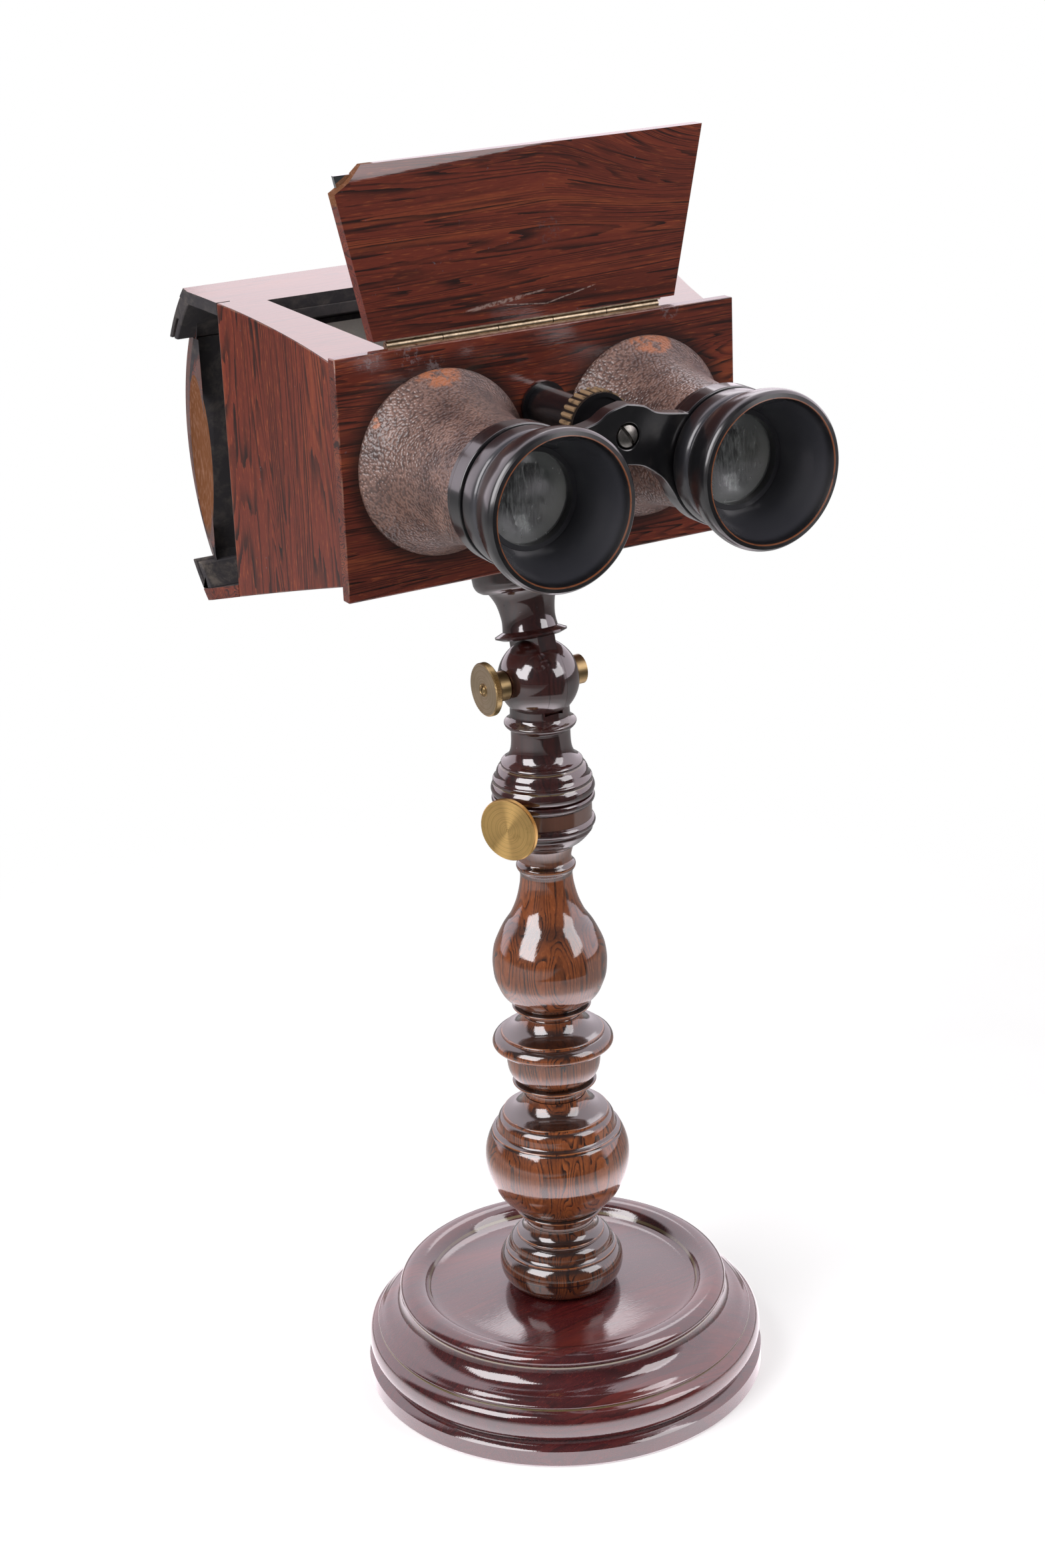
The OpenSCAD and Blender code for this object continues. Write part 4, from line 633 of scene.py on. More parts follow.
def base_wood():
    """The base: wine-red polished wood, grained across, with old wax in three grooves"""
    woods = bpy.context.scene.stereo_woods

    def waxy(tree, shade):
        shade = laid(tree, shade, woods.wax, ring_marks(tree, BASE_RINGS, 1.3, 0.34), 0.75)
        edge = facing(tree, (0, 0, 1), 0.35, 0.8)
        cloudy = add(tree, STEP, cloud(tree, millimetres(tree, (0.3, 1, 1)), 22.0, 5.0, 0.6, 0.6), 0.5, 0.72)
        return laid(tree, shade, woods.base_light, add(tree, TIMES, edge, cloudy), 0.35)

    return polished_wood("wine-red polished wood", (0.07, 1, 0.7),
                         (woods.base_dark, woods.base_mid, woods.base_light), (0, 0, 7), 4.5, 0.55,
                         tint=waxy, polish=2.0)


def ebonised_wood():
    """Black-stained wood: dull, with dust where it faces up"""
    woods = bpy.context.scene.stereo_woods
    material, tree, shader = new_material("ebonised wood")
    fibre = cloud(tree, millimetres(tree, (0.05, 1, 1)), 0.8, 4.0)
    smear = cloud(tree, millimetres(tree), 8.0, 6.0, 0.5, 0.7)
    up = add(tree, SPREAD, facing(tree, (0, 0, 1), 0.2, 0.9), 0.0, 1.0, 0.2, 0.6)
    cover = add(tree, TIMES, add(tree, STEP, smear, 0.34, 0.7), up)
    shade = add(tree, BLEND, cover, woods.ebony, woods.dust)
    bump = add(tree, "Bump", inputs={"Height": fibre, "Strength": 0.2, "Distance": 0.0002})
    surface(tree, shader, Base_Color=shade, Roughness=0.62, Normal=bump)
    return material


# Fittings

def bell_marks(tree, rings, width, broken=0.0):
    """Thin marks round both eyepieces at the given radius and depth pairs"""
    left, right = (ring_marks(tree, rings, width, broken, (x, 0, LENS_HEIGHT), "Y")
                   for x in LENS_SIDES.values())
    return add(tree, LARGER, left, right)


def off_axis(tree):
    """Distance from the nearer eyepiece's axis in millimetres"""
    left, right = (add(tree, PARTS, around(tree, (x, 0, LENS_HEIGHT), "Y")).outputs[0]
                   for x in LENS_SIDES.values())
    return add(tree, SMALLER, left, right)


def sleeve_leather():
    """Grained leather glued over the barrels: pebbles a little under a millimetre wide, rubbed smooth
    and brown below, scuffed tan on the upper rims and in a few small spots"""
    fittings = bpy.context.scene.stereo_fittings
    material, tree, shader = new_material("worn grained leather")
    where = millimetres(tree)
    mottle = cloud(tree, where, 9.0, 4.0, 0.3, 0.55)
    shade = add(tree, "ValToRGB", mottle, stops=[(0.3, fittings.leather), (0.74, fittings.leather_light)])
    height = add(tree, PARTS, where).outputs[2]
    rubbed = add(tree, TIMES, add(tree, STEP, height, 350.0, 334.0),
                 add(tree, STEP, cloud(tree, millimetres(tree, shift=(3, 0, 8)), 15.0, 3.0), 0.4, 0.62))
    shade = laid(tree, shade, fittings.leather_rubbed, rubbed, 0.4)
    grain = add(tree, "TexVoronoi", inputs={"Vector": where, "Scale": 1 / 0.85}, feature="SMOOTH_F1")
    seam = add(tree, STEP, grain, 0.34, 0.62)
    shade = laid(tree, shade, fittings.leather_seam, seam, 0.6)
    torn = cloud(tree, where, 3.6, 5.0, 0.5, 0.7)
    patches = nearest(tree, where, [(-38.0, -12.4, 374.5, 8.0), (39.5, -12.4, 373.0, 8.0),
                                    (-61.0, -12.4, 359.5, 1.8), (24.5, -15.0, 365.0, 1.4),
                                    (33.5, -17.0, 361.0, 1.1), (-64.8, -12.4, 330.0, 1.2)])
    patch = add(tree, STEP, add(tree, LESS, patches, add(tree, LESS, torn, 0.5)), 1.1, 0.75)
    patch = add(tree, TIMES, patch, add(tree, STEP, torn, 0.4, 0.52))
    shade = add(tree, BLEND, patch, shade, fittings.leather_scuff)
    fleck = add(tree, STEP, cloud(tree, where, 2.1, 4.0, 0.2, 0.6), 0.71, 0.75)
    shade = laid(tree, shade, fittings.leather_scuff, fleck, 0.7)
    smooth = add(tree, LARGER, patch, rubbed)
    depth = add(tree, SPREAD, smooth, 0.0, 1.0, 1.0, 0.6)
    pebble = add(tree, TIMES, grain, depth)
    bump = add(tree, "Bump",
               inputs={"Height": add(tree, LESS, 1.0, pebble), "Strength": 1.0, "Distance": 0.0005})
    surface(tree, shader, Base_Color=shade, Roughness=add(tree, SPREAD, smooth, 0.0, 1.0, 0.4, 0.5),
            Coat_Weight=0.8, Coat_Roughness=0.28, Normal=bump, Coat_Normal=bump)
    return material


def black_lacquer(worn_rings=((22.7, -85.0),), satin=0.0, name="black lacquer"):
    """Stoved black lacquer on turned fittings: a soft gloss, faint dust, greyer inside the mouths with dust
    and a painted sheen, worn orange on the mouths' rims
    """
    fittings = bpy.context.scene.stereo_fittings
    woods = bpy.context.scene.stereo_woods
    material, tree, shader = new_material(name)
    where = millimetres(tree)
    dusty = add(tree, STEP, cloud(tree, where, 6.0, 4.0, 0.3, 0.55), 0.5, 0.85)
    shade = laid(tree, fittings.lacquer, woods.dust, dusty, 0.08)
    depth = add(tree, PARTS, where).outputs[1]
    # Greyer inside the eyecups' mouths: partly dust, partly a painted sheen
    mouth_dust_and_sheen = add(tree, TIMES,
                add(tree, STEP, off_axis(tree), 22.3, 21.3), add(tree, STEP, depth, -64.0, -66.0))
    shade = laid(tree, shade, fittings.lacquer_dust_and_sheen, mouth_dust_and_sheen, 0.7)
    if worn_rings:
        shade = laid(tree, shade, fittings.lacquer_worn, bell_marks(tree, worn_rings, 0.75, 0.4), 0.85)
    soft = add(tree, LARGER, mouth_dust_and_sheen, add(tree, TIMES, dusty, 0.5))
    bump = add(tree, "Bump",
               inputs={"Height": cloud(tree, where, 3.5, 1.0), "Strength": 0.04, "Distance": 0.0003})
    surface(tree, shader, Base_Color=shade,
            Roughness=add(tree, SPREAD, soft, 0.0, 1.0, 0.3 + satin, 0.52 + satin),
            Coat_Weight=1.0, Coat_IOR=1.6, Coat_Roughness=0.12 + satin, Normal=bump)
    return material


def wheel_finish(radius):
    """The focusing wheel: black lacquer, worn to tan brass on the crests of its ribs"""
    fittings = bpy.context.scene.stereo_fittings
    material, tree, shader = new_material("lacquered wheel, worn on its ribs")
    out = add(tree, PARTS, around(tree, FOCUS_PLACE, "Y")).outputs[0]
    crest = add(tree, STEP, out, radius - 0.75, radius - 0.35)
    rubbed = add(tree, TIMES, crest, add(tree, STEP, cloud(tree, millimetres(tree), 4.0, 4.0), 0.25, 0.5))
    shade = laid(tree, fittings.lacquer, fittings.wheel_worn, rubbed, 0.85)
    surface(tree, shader, Base_Color=shade, Roughness=add(tree, SPREAD, rubbed, 0.0, 1.0, 0.3, 0.42))
    return material


def turned_brass(name, shade, rough, centre, axis, sheen=0.0):
    """Brass faced on a lathe: rings a third of a millimetre apart whose fine scratches spread the light into
    a bow tie, and tarnish in soft clouds"""
    fittings = bpy.context.scene.stereo_fittings
    material, tree, shader = new_material(name)
    where = millimetres(tree)
    arm = add(tree, "VectorMath.SUBTRACT", where, tuple(1000 * c for c in centre))
    along = add(tree, "VectorMath.DOT_PRODUCT", arm, axis)
    shaft = add(tree, "VectorMath.SCALE", axis, along)
    out = add(tree, "VectorMath.SUBTRACT", arm, shaft)
    radius = add(tree, "VectorMath.LENGTH", out)
    groove = cloud(tree, add(tree, "CombineXYZ", radius), 0.35, 2.0)
    tarnish = cloud(tree, where, 4.0, 5.0, 0.5, 0.7)
    tint = laid(tree, shade, fittings.tarnish, add(tree, STEP, tarnish, 0.52, 0.78), 0.3)
    tint = laid(tree, tint, fittings.brass_ring, add(tree, STEP, groove, 0.42, 0.66), 0.4)
    speck = add(tree, STEP, cloud(tree, where, 0.8, 2.0), 0.76, 0.8)
    tint = laid(tree, tint, fittings.brass_speck, speck, 0.5)
    if sheen:
        way = add(tree, "Tangent", direction_type="UV_MAP", uv_map="Around")
        surface(tree, shader, Anisotropic=sheen, Anisotropic_Rotation=0.25, Tangent=way)
    bump = add(tree, "Bump", inputs={"Height": groove, "Strength": 0.12, "Distance": 0.00004})
    surface(tree, shader, Base_Color=tint,
            Metallic=1.0, Roughness=add(tree, SPREAD, tarnish, 0.0, 1.0, rough, rough + 0.12), Normal=bump)
    return material


def plain_metal(name, shade, rough):
    """Drawn metal with a little tarnish"""
    material, tree, shader = new_material(name)
    tarnish = cloud(tree, millimetres(tree), 2.5, 5.0, 0.4, 0.7)
    tone = add(tree, "ValToRGB", tarnish, stops=[(0.35, level(1.0)), (0.75, level(0.45))])
    surface(tree, shader, Base_Color=add(tree, BLEND, 1.0, shade, tone, blend_type="MULTIPLY"),
            Metallic=1.0, Roughness=add(tree, SPREAD, tarnish, 0.0, 1.0, rough, rough + 0.25))
    return material


def lens_glass():
    """Crown glass lens, polished, with a dusty film wiped in arcs and thicker at the rim"""
    fittings = bpy.context.scene.stereo_fittings
    material, tree, shader = new_material("dusty crown glass")
    arcs = cloud(tree, millimetres(tree, (1, 1, 0.16)), 1.2, 4.0, 1.4, 0.65)
    edge = add(tree, STEP, off_axis(tree), 9.0, 12.2)
    film = add(tree, LARGER, add(tree, STEP, arcs, 0.4, 0.75), add(tree, TIMES, edge, 0.7))
    surface(tree, shader, Base_Color=laid(tree, fittings.lens, fittings.lens_dust, film, 0.5),
            Roughness=add(tree, SPREAD, film, 0.0, 1.0, 0.03, 0.3),
            Transmission_Weight=add(tree, SPREAD, film, 0.0, 1.0, 0.98, 0.72), IOR=1.52)
    return material


def ground_glass():
    """Glass ground white on one face: even, soft and slightly translucent"""
    fittings = bpy.context.scene.stereo_fittings
    material, tree, shader = new_material("ground glass")
    grit = cloud(tree, millimetres(tree), 0.5, 2.0)
    tone = add(tree, "ValToRGB", grit, stops=[(0.3, level(0.9)), (0.7, level(1.0))])
    surface(tree, shader, Base_Color=add(tree, BLEND, 1.0, fittings.ground, tone, blend_type="MULTIPLY"),
            Roughness=0.6, Transmission_Weight=0.35, IOR=1.5)
    return material


def silvered_mirror():
    """Silvered glass with a little foxing"""
    fittings = bpy.context.scene.stereo_fittings
    material, tree, shader = new_material("silvered mirror glass")
    spots = add(tree, STEP, cloud(tree, millimetres(tree), 4.0, 6.0, 0.3, 0.7), 0.64, 0.72)
    surface(tree, shader, Base_Color=laid(tree, fittings.mirror, fittings.foxing, spots, 0.5),
            Metallic=1.0, Roughness=add(tree, SPREAD, spots, 0.0, 1.0, 0.04, 0.3))
    return material


# The way from the camera to the backdrop, level with the floor
TO_BACKDROP = (0.66, 0.75, 0.0)


# Operators

class StageOperator(bpy.types.Operator):
    """Sets up the camera, the softboxes, the room's light and the pale floor"""
    bl_idname = "stereo.stage"
    bl_label = "Stage and camera"

    def execute(self, context):
        scene = context.scene
        stage = scene.stereo_stage
        scene.view_settings.view_transform = "Standard"
        self.camera(scene, stage)
        middle = Vector((0, 0, 0.25))
        self.softbox("Softbox left", middle, (-0.82, -0.14, 0.55), 1.2, (0.8, 0.95), stage.left_level)
        self.softbox("Softbox front", middle, (0.505, -0.68, 0.53), 1.2, (0.6, 0.9), stage.front_level)
        self.softbox("Panel behind", middle, (0.4545, 0.593, 0.665), 1.3, (0.6, 0.55), stage.back_level)
        self.room(scene, stage)
        self.floor(stage)
        return {"FINISHED"}

    def camera(self, scene, stage):
        """The photograph's camera, solved from the turned pieces and the ruled edges of the case"""
        turn, rise, roll = math.radians(-29.11), math.radians(20.79), math.radians(-2.46)
        back = Vector((math.sin(turn) * math.cos(rise), -math.cos(turn) * math.cos(rise), math.sin(rise)))
        level_right = Vector((math.cos(turn), math.sin(turn), 0))
        level_up = back.cross(level_right)
        right = math.cos(roll) * level_right + math.sin(roll) * level_up
        up = math.cos(roll) * level_up - math.sin(roll) * level_right
        data = bpy.data.cameras.new("Camera")
        data.lens = stage.lens_length
        data.sensor_width = 36.0
        data.sensor_height = 36.0
        data.sensor_fit = "AUTO"
        data.clip_start = 0.01
        camera = bpy.data.objects.new("Camera", data)
        pose = Matrix((right, up, back)).transposed().to_4x4()
        pose.translation = Vector((-0.44467, -0.78457, 0.56591))
        camera.matrix_world = pose
        scene.collection.objects.link(camera)
        scene.camera = camera

    def softbox(self, name, middle, way, far, size, radiance):
        """A rectangular lamp that faces the middle from a given way and distance"""
        data = bpy.data.lights.new(name, "AREA")
        data.shape = "RECTANGLE"
        data.size, data.size_y = size
        data.energy = radiance * size[0] * size[1] * math.pi
        data.color = (1.0, 0.965, 0.99)
        light = bpy.data.objects.new(name, data)
        light.location = middle + far * Vector(way).normalized()
        light.rotation_euler = (-Vector(way)).to_track_quat("-Z", "Y").to_euler()
        bpy.context.scene.collection.objects.link(light)

    def room(self, scene, stage):
        """White all round for the camera; polished faces see a pale backdrop and a dark room in front"""
        world = bpy.data.worlds.new("Studio")
        scene.world = world
        tree = cleared(world)
        path = add(tree, "LightPath")
        way = add(tree, "TexCoord").outputs["Generated"]
        side = add(tree, "VectorMath.DOT_PRODUCT", way, TO_BACKDROP)
        behind = add(tree, SPREAD, side, -0.06, 0.1, 0.05, stage.paper_level)
        seen = add(tree, LARGER, path.outputs["Is Camera Ray"], path.outputs["Is Transmission Ray"])
        plain = add(tree, "Mix", path.outputs["Is Glossy Ray"], stage.room_level, behind)
        strength = add(tree, "Mix", seen, plain, 1.0)
        tint = add(tree, BLEND, path.outputs["Is Glossy Ray"], level(1.0), (1.0, 0.89, 0.97, 1.0))
        light = add(tree, "Background", tint, strength)
        add(tree, "OutputWorld", light)

    def floor(self, stage):
        """White paper that keeps the object's shadow, and turns dark for polished faces towards the studio"""
        bm = bmesh.new()
        bmesh.ops.create_grid(bm, x_segments=1, y_segments=1, size=stage.floor_size / 2)
        bmesh.ops.translate(bm, verts=bm.verts, vec=(0, 0, -0.0001))
        material = bpy.data.materials.new("White paper floor")
        floor = made("Floor", bm, [material])
        tree = cleared(material)
        path = add(tree, "LightPath")
        seen = add(tree, LARGER, path.outputs["Is Camera Ray"], path.outputs["Is Transmission Ray"])
        grain = cloud(tree, millimetres(tree), 40.0, 3.0)
        tone = add(tree, "ValToRGB", grain, stops=[(0.3, level(0.78)), (0.7, level(0.8))])
        paper = add(tree, "BsdfDiffuse", tone)
        place = millimetres(tree)
        out = add(tree, "VectorMath.LENGTH", place)
        near = add(tree, TIMES, add(tree, STEP, out, 210.0, 100.0), path.outputs["Is Glossy Ray"])
        lift = add(tree, PLUS, add(tree, TIMES, seen, 0.42), add(tree, TIMES, near, 1.5))
        warm = add(tree, BLEND, path.outputs["Is Glossy Ray"], level(1.0), (1.0, 0.88, 0.95, 1.0))
        glow = add(tree, "Emission", warm, lift)
        both = add(tree, "AddShader", paper, glow)
        white = add(tree, "Emission", level(1.0), 1.0)
        away = add(tree, TIMES, add(tree, STEP, out, 250.0, 600.0), path.outputs["Is Camera Ray"])
        both = add(tree, "MixShader", away, both, white)
        side = add(tree, "VectorMath.DOT_PRODUCT", place, TO_BACKDROP)
        dark = add(tree, TIMES, add(tree, STEP, out, 330.0, 420.0), add(tree, STEP, side, 40.0, -60.0))
        dark = add(tree, TIMES, dark, add(tree, STEP, add(tree, PARTS, place).outputs[0], -430.0, -300.0))
        shaded = add(tree, TIMES, add(tree, STEP, out, 200.0, 300.0), 0.45)
        dark = add(tree, LARGER, dark, shaded)
        studio = add(tree, "Emission", level(1.0), 0.05)
        turned = add(tree, "MixShader", add(tree, TIMES, dark, path.outputs["Is Glossy Ray"]), both, studio)
        add(tree, "OutputMaterial", turned)


class BaseOperator(bpy.types.Operator):
    """Turns the round base"""
    bl_idname = "stereo.base"
    bl_label = "Base"

    def execute(self, context):
        turning("base", base_wood(), steps=192)
        return {"FINISHED"}


class ColumnOperator(bpy.types.Operator):
    """Turns the column, its collar, the sliding rod, the bell and ball, and the head's socket"""
    bl_idname = "stereo.column"
    bl_label = "Column and tilt joint"

    def execute(self, context):
        turning("lower_baluster", column_wood("turned rosewood, lower", (11, 4, 0)))
        turning("upper_baluster", column_wood("turned rosewood, upper", (3, 17, 2)))
        dark = dark_turned_wood()
        turning("clamp_collar", dark)
        fitting("upper_stem", dark, sharp=30.0)
        fitting("head_socket", dark, sharp=30.0)
        fitting("stem_rod", column_wood("waxed rod"))
        return {"FINISHED"}


class ClampOperator(bpy.types.Operator):
    """Turns and knurls the brass clamp knob and the tilt knob, and finishes their screws"""
    bl_idname = "stereo.clamps"
    bl_label = "Clamp and tilt knobs"

    def execute(self, context):
        fittings = context.scene.stereo_fittings
        clamp = CLAMP_PLACE, (math.cos(CLAMP_TURN), math.sin(CLAMP_TURN), 0)
        tilt = TILT_PLACE, (-1, 0, 0)
        self.knob("clamp_knob", turned_brass("lathe-faced brass", fittings.brass, 0.25, *clamp, sheen=0.9),
                  turned_brass("knurled bright brass", fittings.brass, 0.28, *clamp), *clamp)
        face = turned_brass("aged turned brass", fittings.brass_old, 0.36, *tilt, sheen=0.5)
        rim = turned_brass("knurled aged brass", fittings.brass_rim, 0.34, *tilt)
        self.knob("tilt_knob", face, rim, *tilt, screw=True)
        fitting("tilt_nut", rim)
        drawn = plain_metal("drawn brass", fittings.brass_old, 0.3)
        for node in ("clamp_screw", "clamp_bush", "tilt_screw"):
            fitting(node, drawn)
        return {"FINISHED"}

    def knob(self, node, face, rim, centre, axis, screw=False):
        """A flat knob with a finely knurled rim and a plain boss, sized from its CAD node"""
        sizes = bpy.context.scene.stereo_sizes
        centre, axis = Vector(centre), Vector(axis)
        spots = []
        for vert in NODES[node].data.vertices:
            spots.append(((vert.co - centre).dot(axis), arm_from(vert.co, centre, axis).length))
        top = max(along for along, away in spots)
        foot = min(along for along, away in spots)
        radius = max(away for along, away in spots)
        boss = max(away for along, away in spots if along < foot + 1e-5)
        under = min(along for along, away in spots if away > boss + 0.001)
        lip = 0.0004
        side = axis.orthogonal().normalized()
        section = [(0, foot), (boss, foot), (boss, under), (radius - lip, under), (radius, under + lip),
                   (radius, top - lip), (radius - lip, top), (radius * 0.5, top), (0, top)]
        ribs = round(2 * math.pi * radius / sizes.knurl_pitch)
        bm = lathe(section, centre, axis, side, 2 * ribs)
        other = axis.cross(side)
        for vert in bm.verts:
            flat = arm_from(vert.co, centre, axis)
            count = round(math.atan2(flat.dot(other), flat.dot(side)) / math.pi * ribs)
            if flat.length > radius - 1e-5 and count % 2:
                vert.co -= flat.normalized() * sizes.knurl_depth
        bmesh.ops.recalc_face_normals(bm, faces=bm.faces)
        around_map(bm, centre, axis)
        for facet in bm.faces:
            away = arm_from(facet.calc_center_median(), centre, axis).length
            facet.material_index = 0 if facet.normal.dot(axis) > 0.9 and away < radius - lip else 1
        dressed(node, "_knurled", bm, [face, rim], sharp=22.0)
        if screw:
            section = [(0.0, 0.00075), (0.0007, 0.0007), (0.0012, 0.0005), (0.0015, 0.0001), (0.0017, 0.0001),
                       (0.0019, 0.00035), (0.0022, 0.0003), (0.0023, -0.0002)]
            screw_head(node + "_screw_head", body_of(node), rim, centre + axis * top, axis, section,
                       (0.00022, 0.0014, 0.0004), side)


class CaseOperator(bpy.types.Operator):
    """Dresses the boards of the case"""
    bl_idname = "stereo.case"
    bl_label = "Case boards"

    def execute(self, context):
        woods = context.scene.stereo_woods

        def shaded_rings_and_chalk(tree, shade):
            # Painted shade: a dark band round each leather bell where it meets the front board; the chalky
            # spots below are real
            ring = add(tree, TIMES, add(tree, STEP, off_axis(tree), 36.0, 29.5), 0.75)
            shade = add(tree, BLEND, ring, shade, woods.painted_shade)
            place = millimetres(tree)
            chalk = nearest(tree, place, [(-61.0, -10.2, 379.5, 5.0), (-47.0, -10.2, 378.0, 5.0),
                                          (-38.0, -10.2, 374.0, 3.5), (48.0, -10.2, 380.0, 4.0)])
            patchy = add(tree, STEP, cloud(tree, place, 1.6, 5.0, 0.4, 0.7), 0.5, 0.62)
            return laid(tree, shade,
                        woods.chalk, add(tree, TIMES, add(tree, STEP, chalk, 1.2, 0.5), patchy), 0.5)

        def evened(tree, shade):
            return add(tree, BLEND, 0.65, shade, woods.board_mid)

        boards = {
            "floor_board": ((0.04, 1, 0.6), (5, 3, 0), (0, 0, 1), None),
            "roof_board": ((0.04, 1, 0.6), (0, 40, 9), None, evened),
            "side_wall_left": ((1, 0.8, 0.05), (9, 0, 4), (1, 0, 0), None),
            "side_wall_right": ((1, 0.8, 0.05), (31, 7, 0), (-1, 0, 0), None),
            "front_board": ((0.04, 0.6, 1), (2, 0, 23), (0, 1, 0), shaded_rings_and_chalk),
        }
        for node, (run, shift, inside, tint) in boards.items():
            def hidden(tree, inside=inside):
                if inside is None:
                    return add(tree, LESS, 1.0, facing(tree, (0, 0.1, 0.995), 0.4, 0.6))
                return add(tree, LARGER, facing(tree, inside), facing(tree, (0, 1, 0)))

            more = {"tint": tint, "dull": hidden}
            board(node, board_wood("rosewood " + node, run, shift, **more),
                  board_wood("rosewood edge " + node, run, shift, worn=True, **more))
        return {"FINISHED"}


class RailOperator(bpy.types.Operator):
    """Finishes the rails, black inside and polished outside, the card guides and the partition"""
    bl_idname = "stereo.rails"
    bl_label = "Rails and guides"

    def execute(self, context):
        black = ebonised_wood()
        for node in ("card_guides", "septum"):
            board(node, black, black)
        for node, out in (("top_rail", (0, 0.75, 0.66)), ("bottom_rail", (0, 0.75, -0.66))):
            def inner(tree, out=out):
                return add(tree, LESS, 1.0, facing(tree, out, 0.55, 0.75))

            polished = board_wood("rosewood " + node, (0.04, 1, 1), (3, 8, 5), dull=inner)
            board(node, polished, polished)
        return {"FINISHED"}


class BackOperator(bpy.types.Operator):
    """Dresses the sliding back and its ground glass"""
    bl_idname = "stereo.back"
    bl_label = "Sliding back"

    def execute(self, context):
        run, shift = (0.05, 1, 1), (3, 9, 12)

        def ends(tree):
            side = add(tree, "Math.ABSOLUTE",
                       add(tree, PARTS, add(tree, "TexCoord").outputs["Normal"]).outputs[0])
            return add(tree, LARGER, add(tree, STEP, side, 0.988, 0.996), facing(tree, (0, -1, 0), 0.3, 0.6))

        def all_bare(tree):
            return add(tree, STEP, add(tree, PARTS, millimetres(tree)).outputs[1], 60.0, 61.0)

        def tail(tree):
            height = add(tree, PARTS, millimetres(tree)).outputs[2]
            return add(tree, STEP, height, 311.0, 304.0)

        frame_wood = board_wood("rosewood sliding back", run, shift, dull=ends, polish=2.0)
        open_wood = board_wood("open wood of the finger scoops", (1, 1, 0.06), shift, dull=tail,
                               bare=all_bare)
        self.frame(context, frame_wood, open_wood)
        fitting("ground_glass", ground_glass())
        return {"FINISHED"}

    def frame(self, context, wood, open_wood):
        """The curved frame with whole end blocks, slanted a little at the back, and in each end a long
        shallow scoop for a finger"""
        bm = merged_copy("back_frame")
        reach = max(vert.co.x for vert in bm.verts)
        # Where the copy is cut, how far its ends lean out, and from where and how far they narrow at the back
        cut, slant = 0.074, 0.0013
        front, foot, most = 0.0695, 0.072, 0.006
        for side in (-1, 1):
            bmesh.ops.bisect_plane(bm, geom=everything(bm), dist=1e-7,
                                   plane_co=(side * cut, 0, 0), plane_no=(side, 0, 0), clear_outer=True)
            far = new_corners(bmesh.ops.extrude_edge_only(bm, edges=open_edges(bm)))
            bmesh.ops.translate(bm, verts=far, vec=(side * (reach - cut - slant), 0, 0))
            for vert in new_corners(bmesh.ops.extrude_edge_only(bm, edges=open_edges(bm))):
                vert.co.x += side * slant
                if vert.co.y > foot:
                    vert.co.y -= min(most, 0.5 * (vert.co.y - front))
            bmesh.ops.holes_fill(bm, edges=open_edges(bm), sides=0)
        bmesh.ops.remove_doubles(bm, verts=bm.verts, dist=TOUCHING)
        bmesh.ops.recalc_face_normals(bm, faces=bm.faces)
        bmesh.ops.dissolve_limit(bm, angle_limit=FLAT, verts=bm.verts, edges=bm.edges)
        bmesh.ops.triangulate(bm, faces=bm.faces[:])
        frame_piece = dressed("back_frame", "_board", bm, [wood, open_wood], sharp=9.0)
        scoop = bmesh.new()
        half_size, outside, behind, height = (0.0055, 0.0076, 0.031), 0.0022, 0.0792, 0.333
        for side in (-1, 1):
            grown = bmesh.ops.create_uvsphere(scoop, u_segments=64, v_segments=32, radius=1.0)
            bmesh.ops.scale(scoop, verts=grown["verts"], vec=half_size)
            bmesh.ops.translate(scoop, verts=grown["verts"], vec=(side * (reach + outside), behind, height))
        for face in scoop.faces:
            face.material_index = 1
            face.smooth = True
        cutter = made("Scoop cutter", scoop, (wood, open_wood))
        carve = frame_piece.modifiers.new("Finger scoops", "BOOLEAN")
        carve.operation = "DIFFERENCE"
        carve.solver = "EXACT"
        carve.object = cutter
        context.view_layer.update()
        carved = bpy.data.meshes.new_from_object(frame_piece.evaluated_get(context.evaluated_depsgraph_get()))
        frame_piece.modifiers.remove(carve)
        frame_piece.data = carved
        bpy.data.objects.remove(cutter)
        rounded(frame_piece, 0.0009, segments=3, angle=62.0)


# Scratches on the lid's front, each as its start across and up, its end and its width in millimetres
SCRATCHES = [(-22.0, 387.2, 5.9, 390.3, 0.4), (-19.6, 387.4, -2.0, 389.2, 0.9),
             (-8.2, 387.4, 7.0, 385.9, 0.25), (7.0, 385.9, 24.4, 389.4, 0.3)]


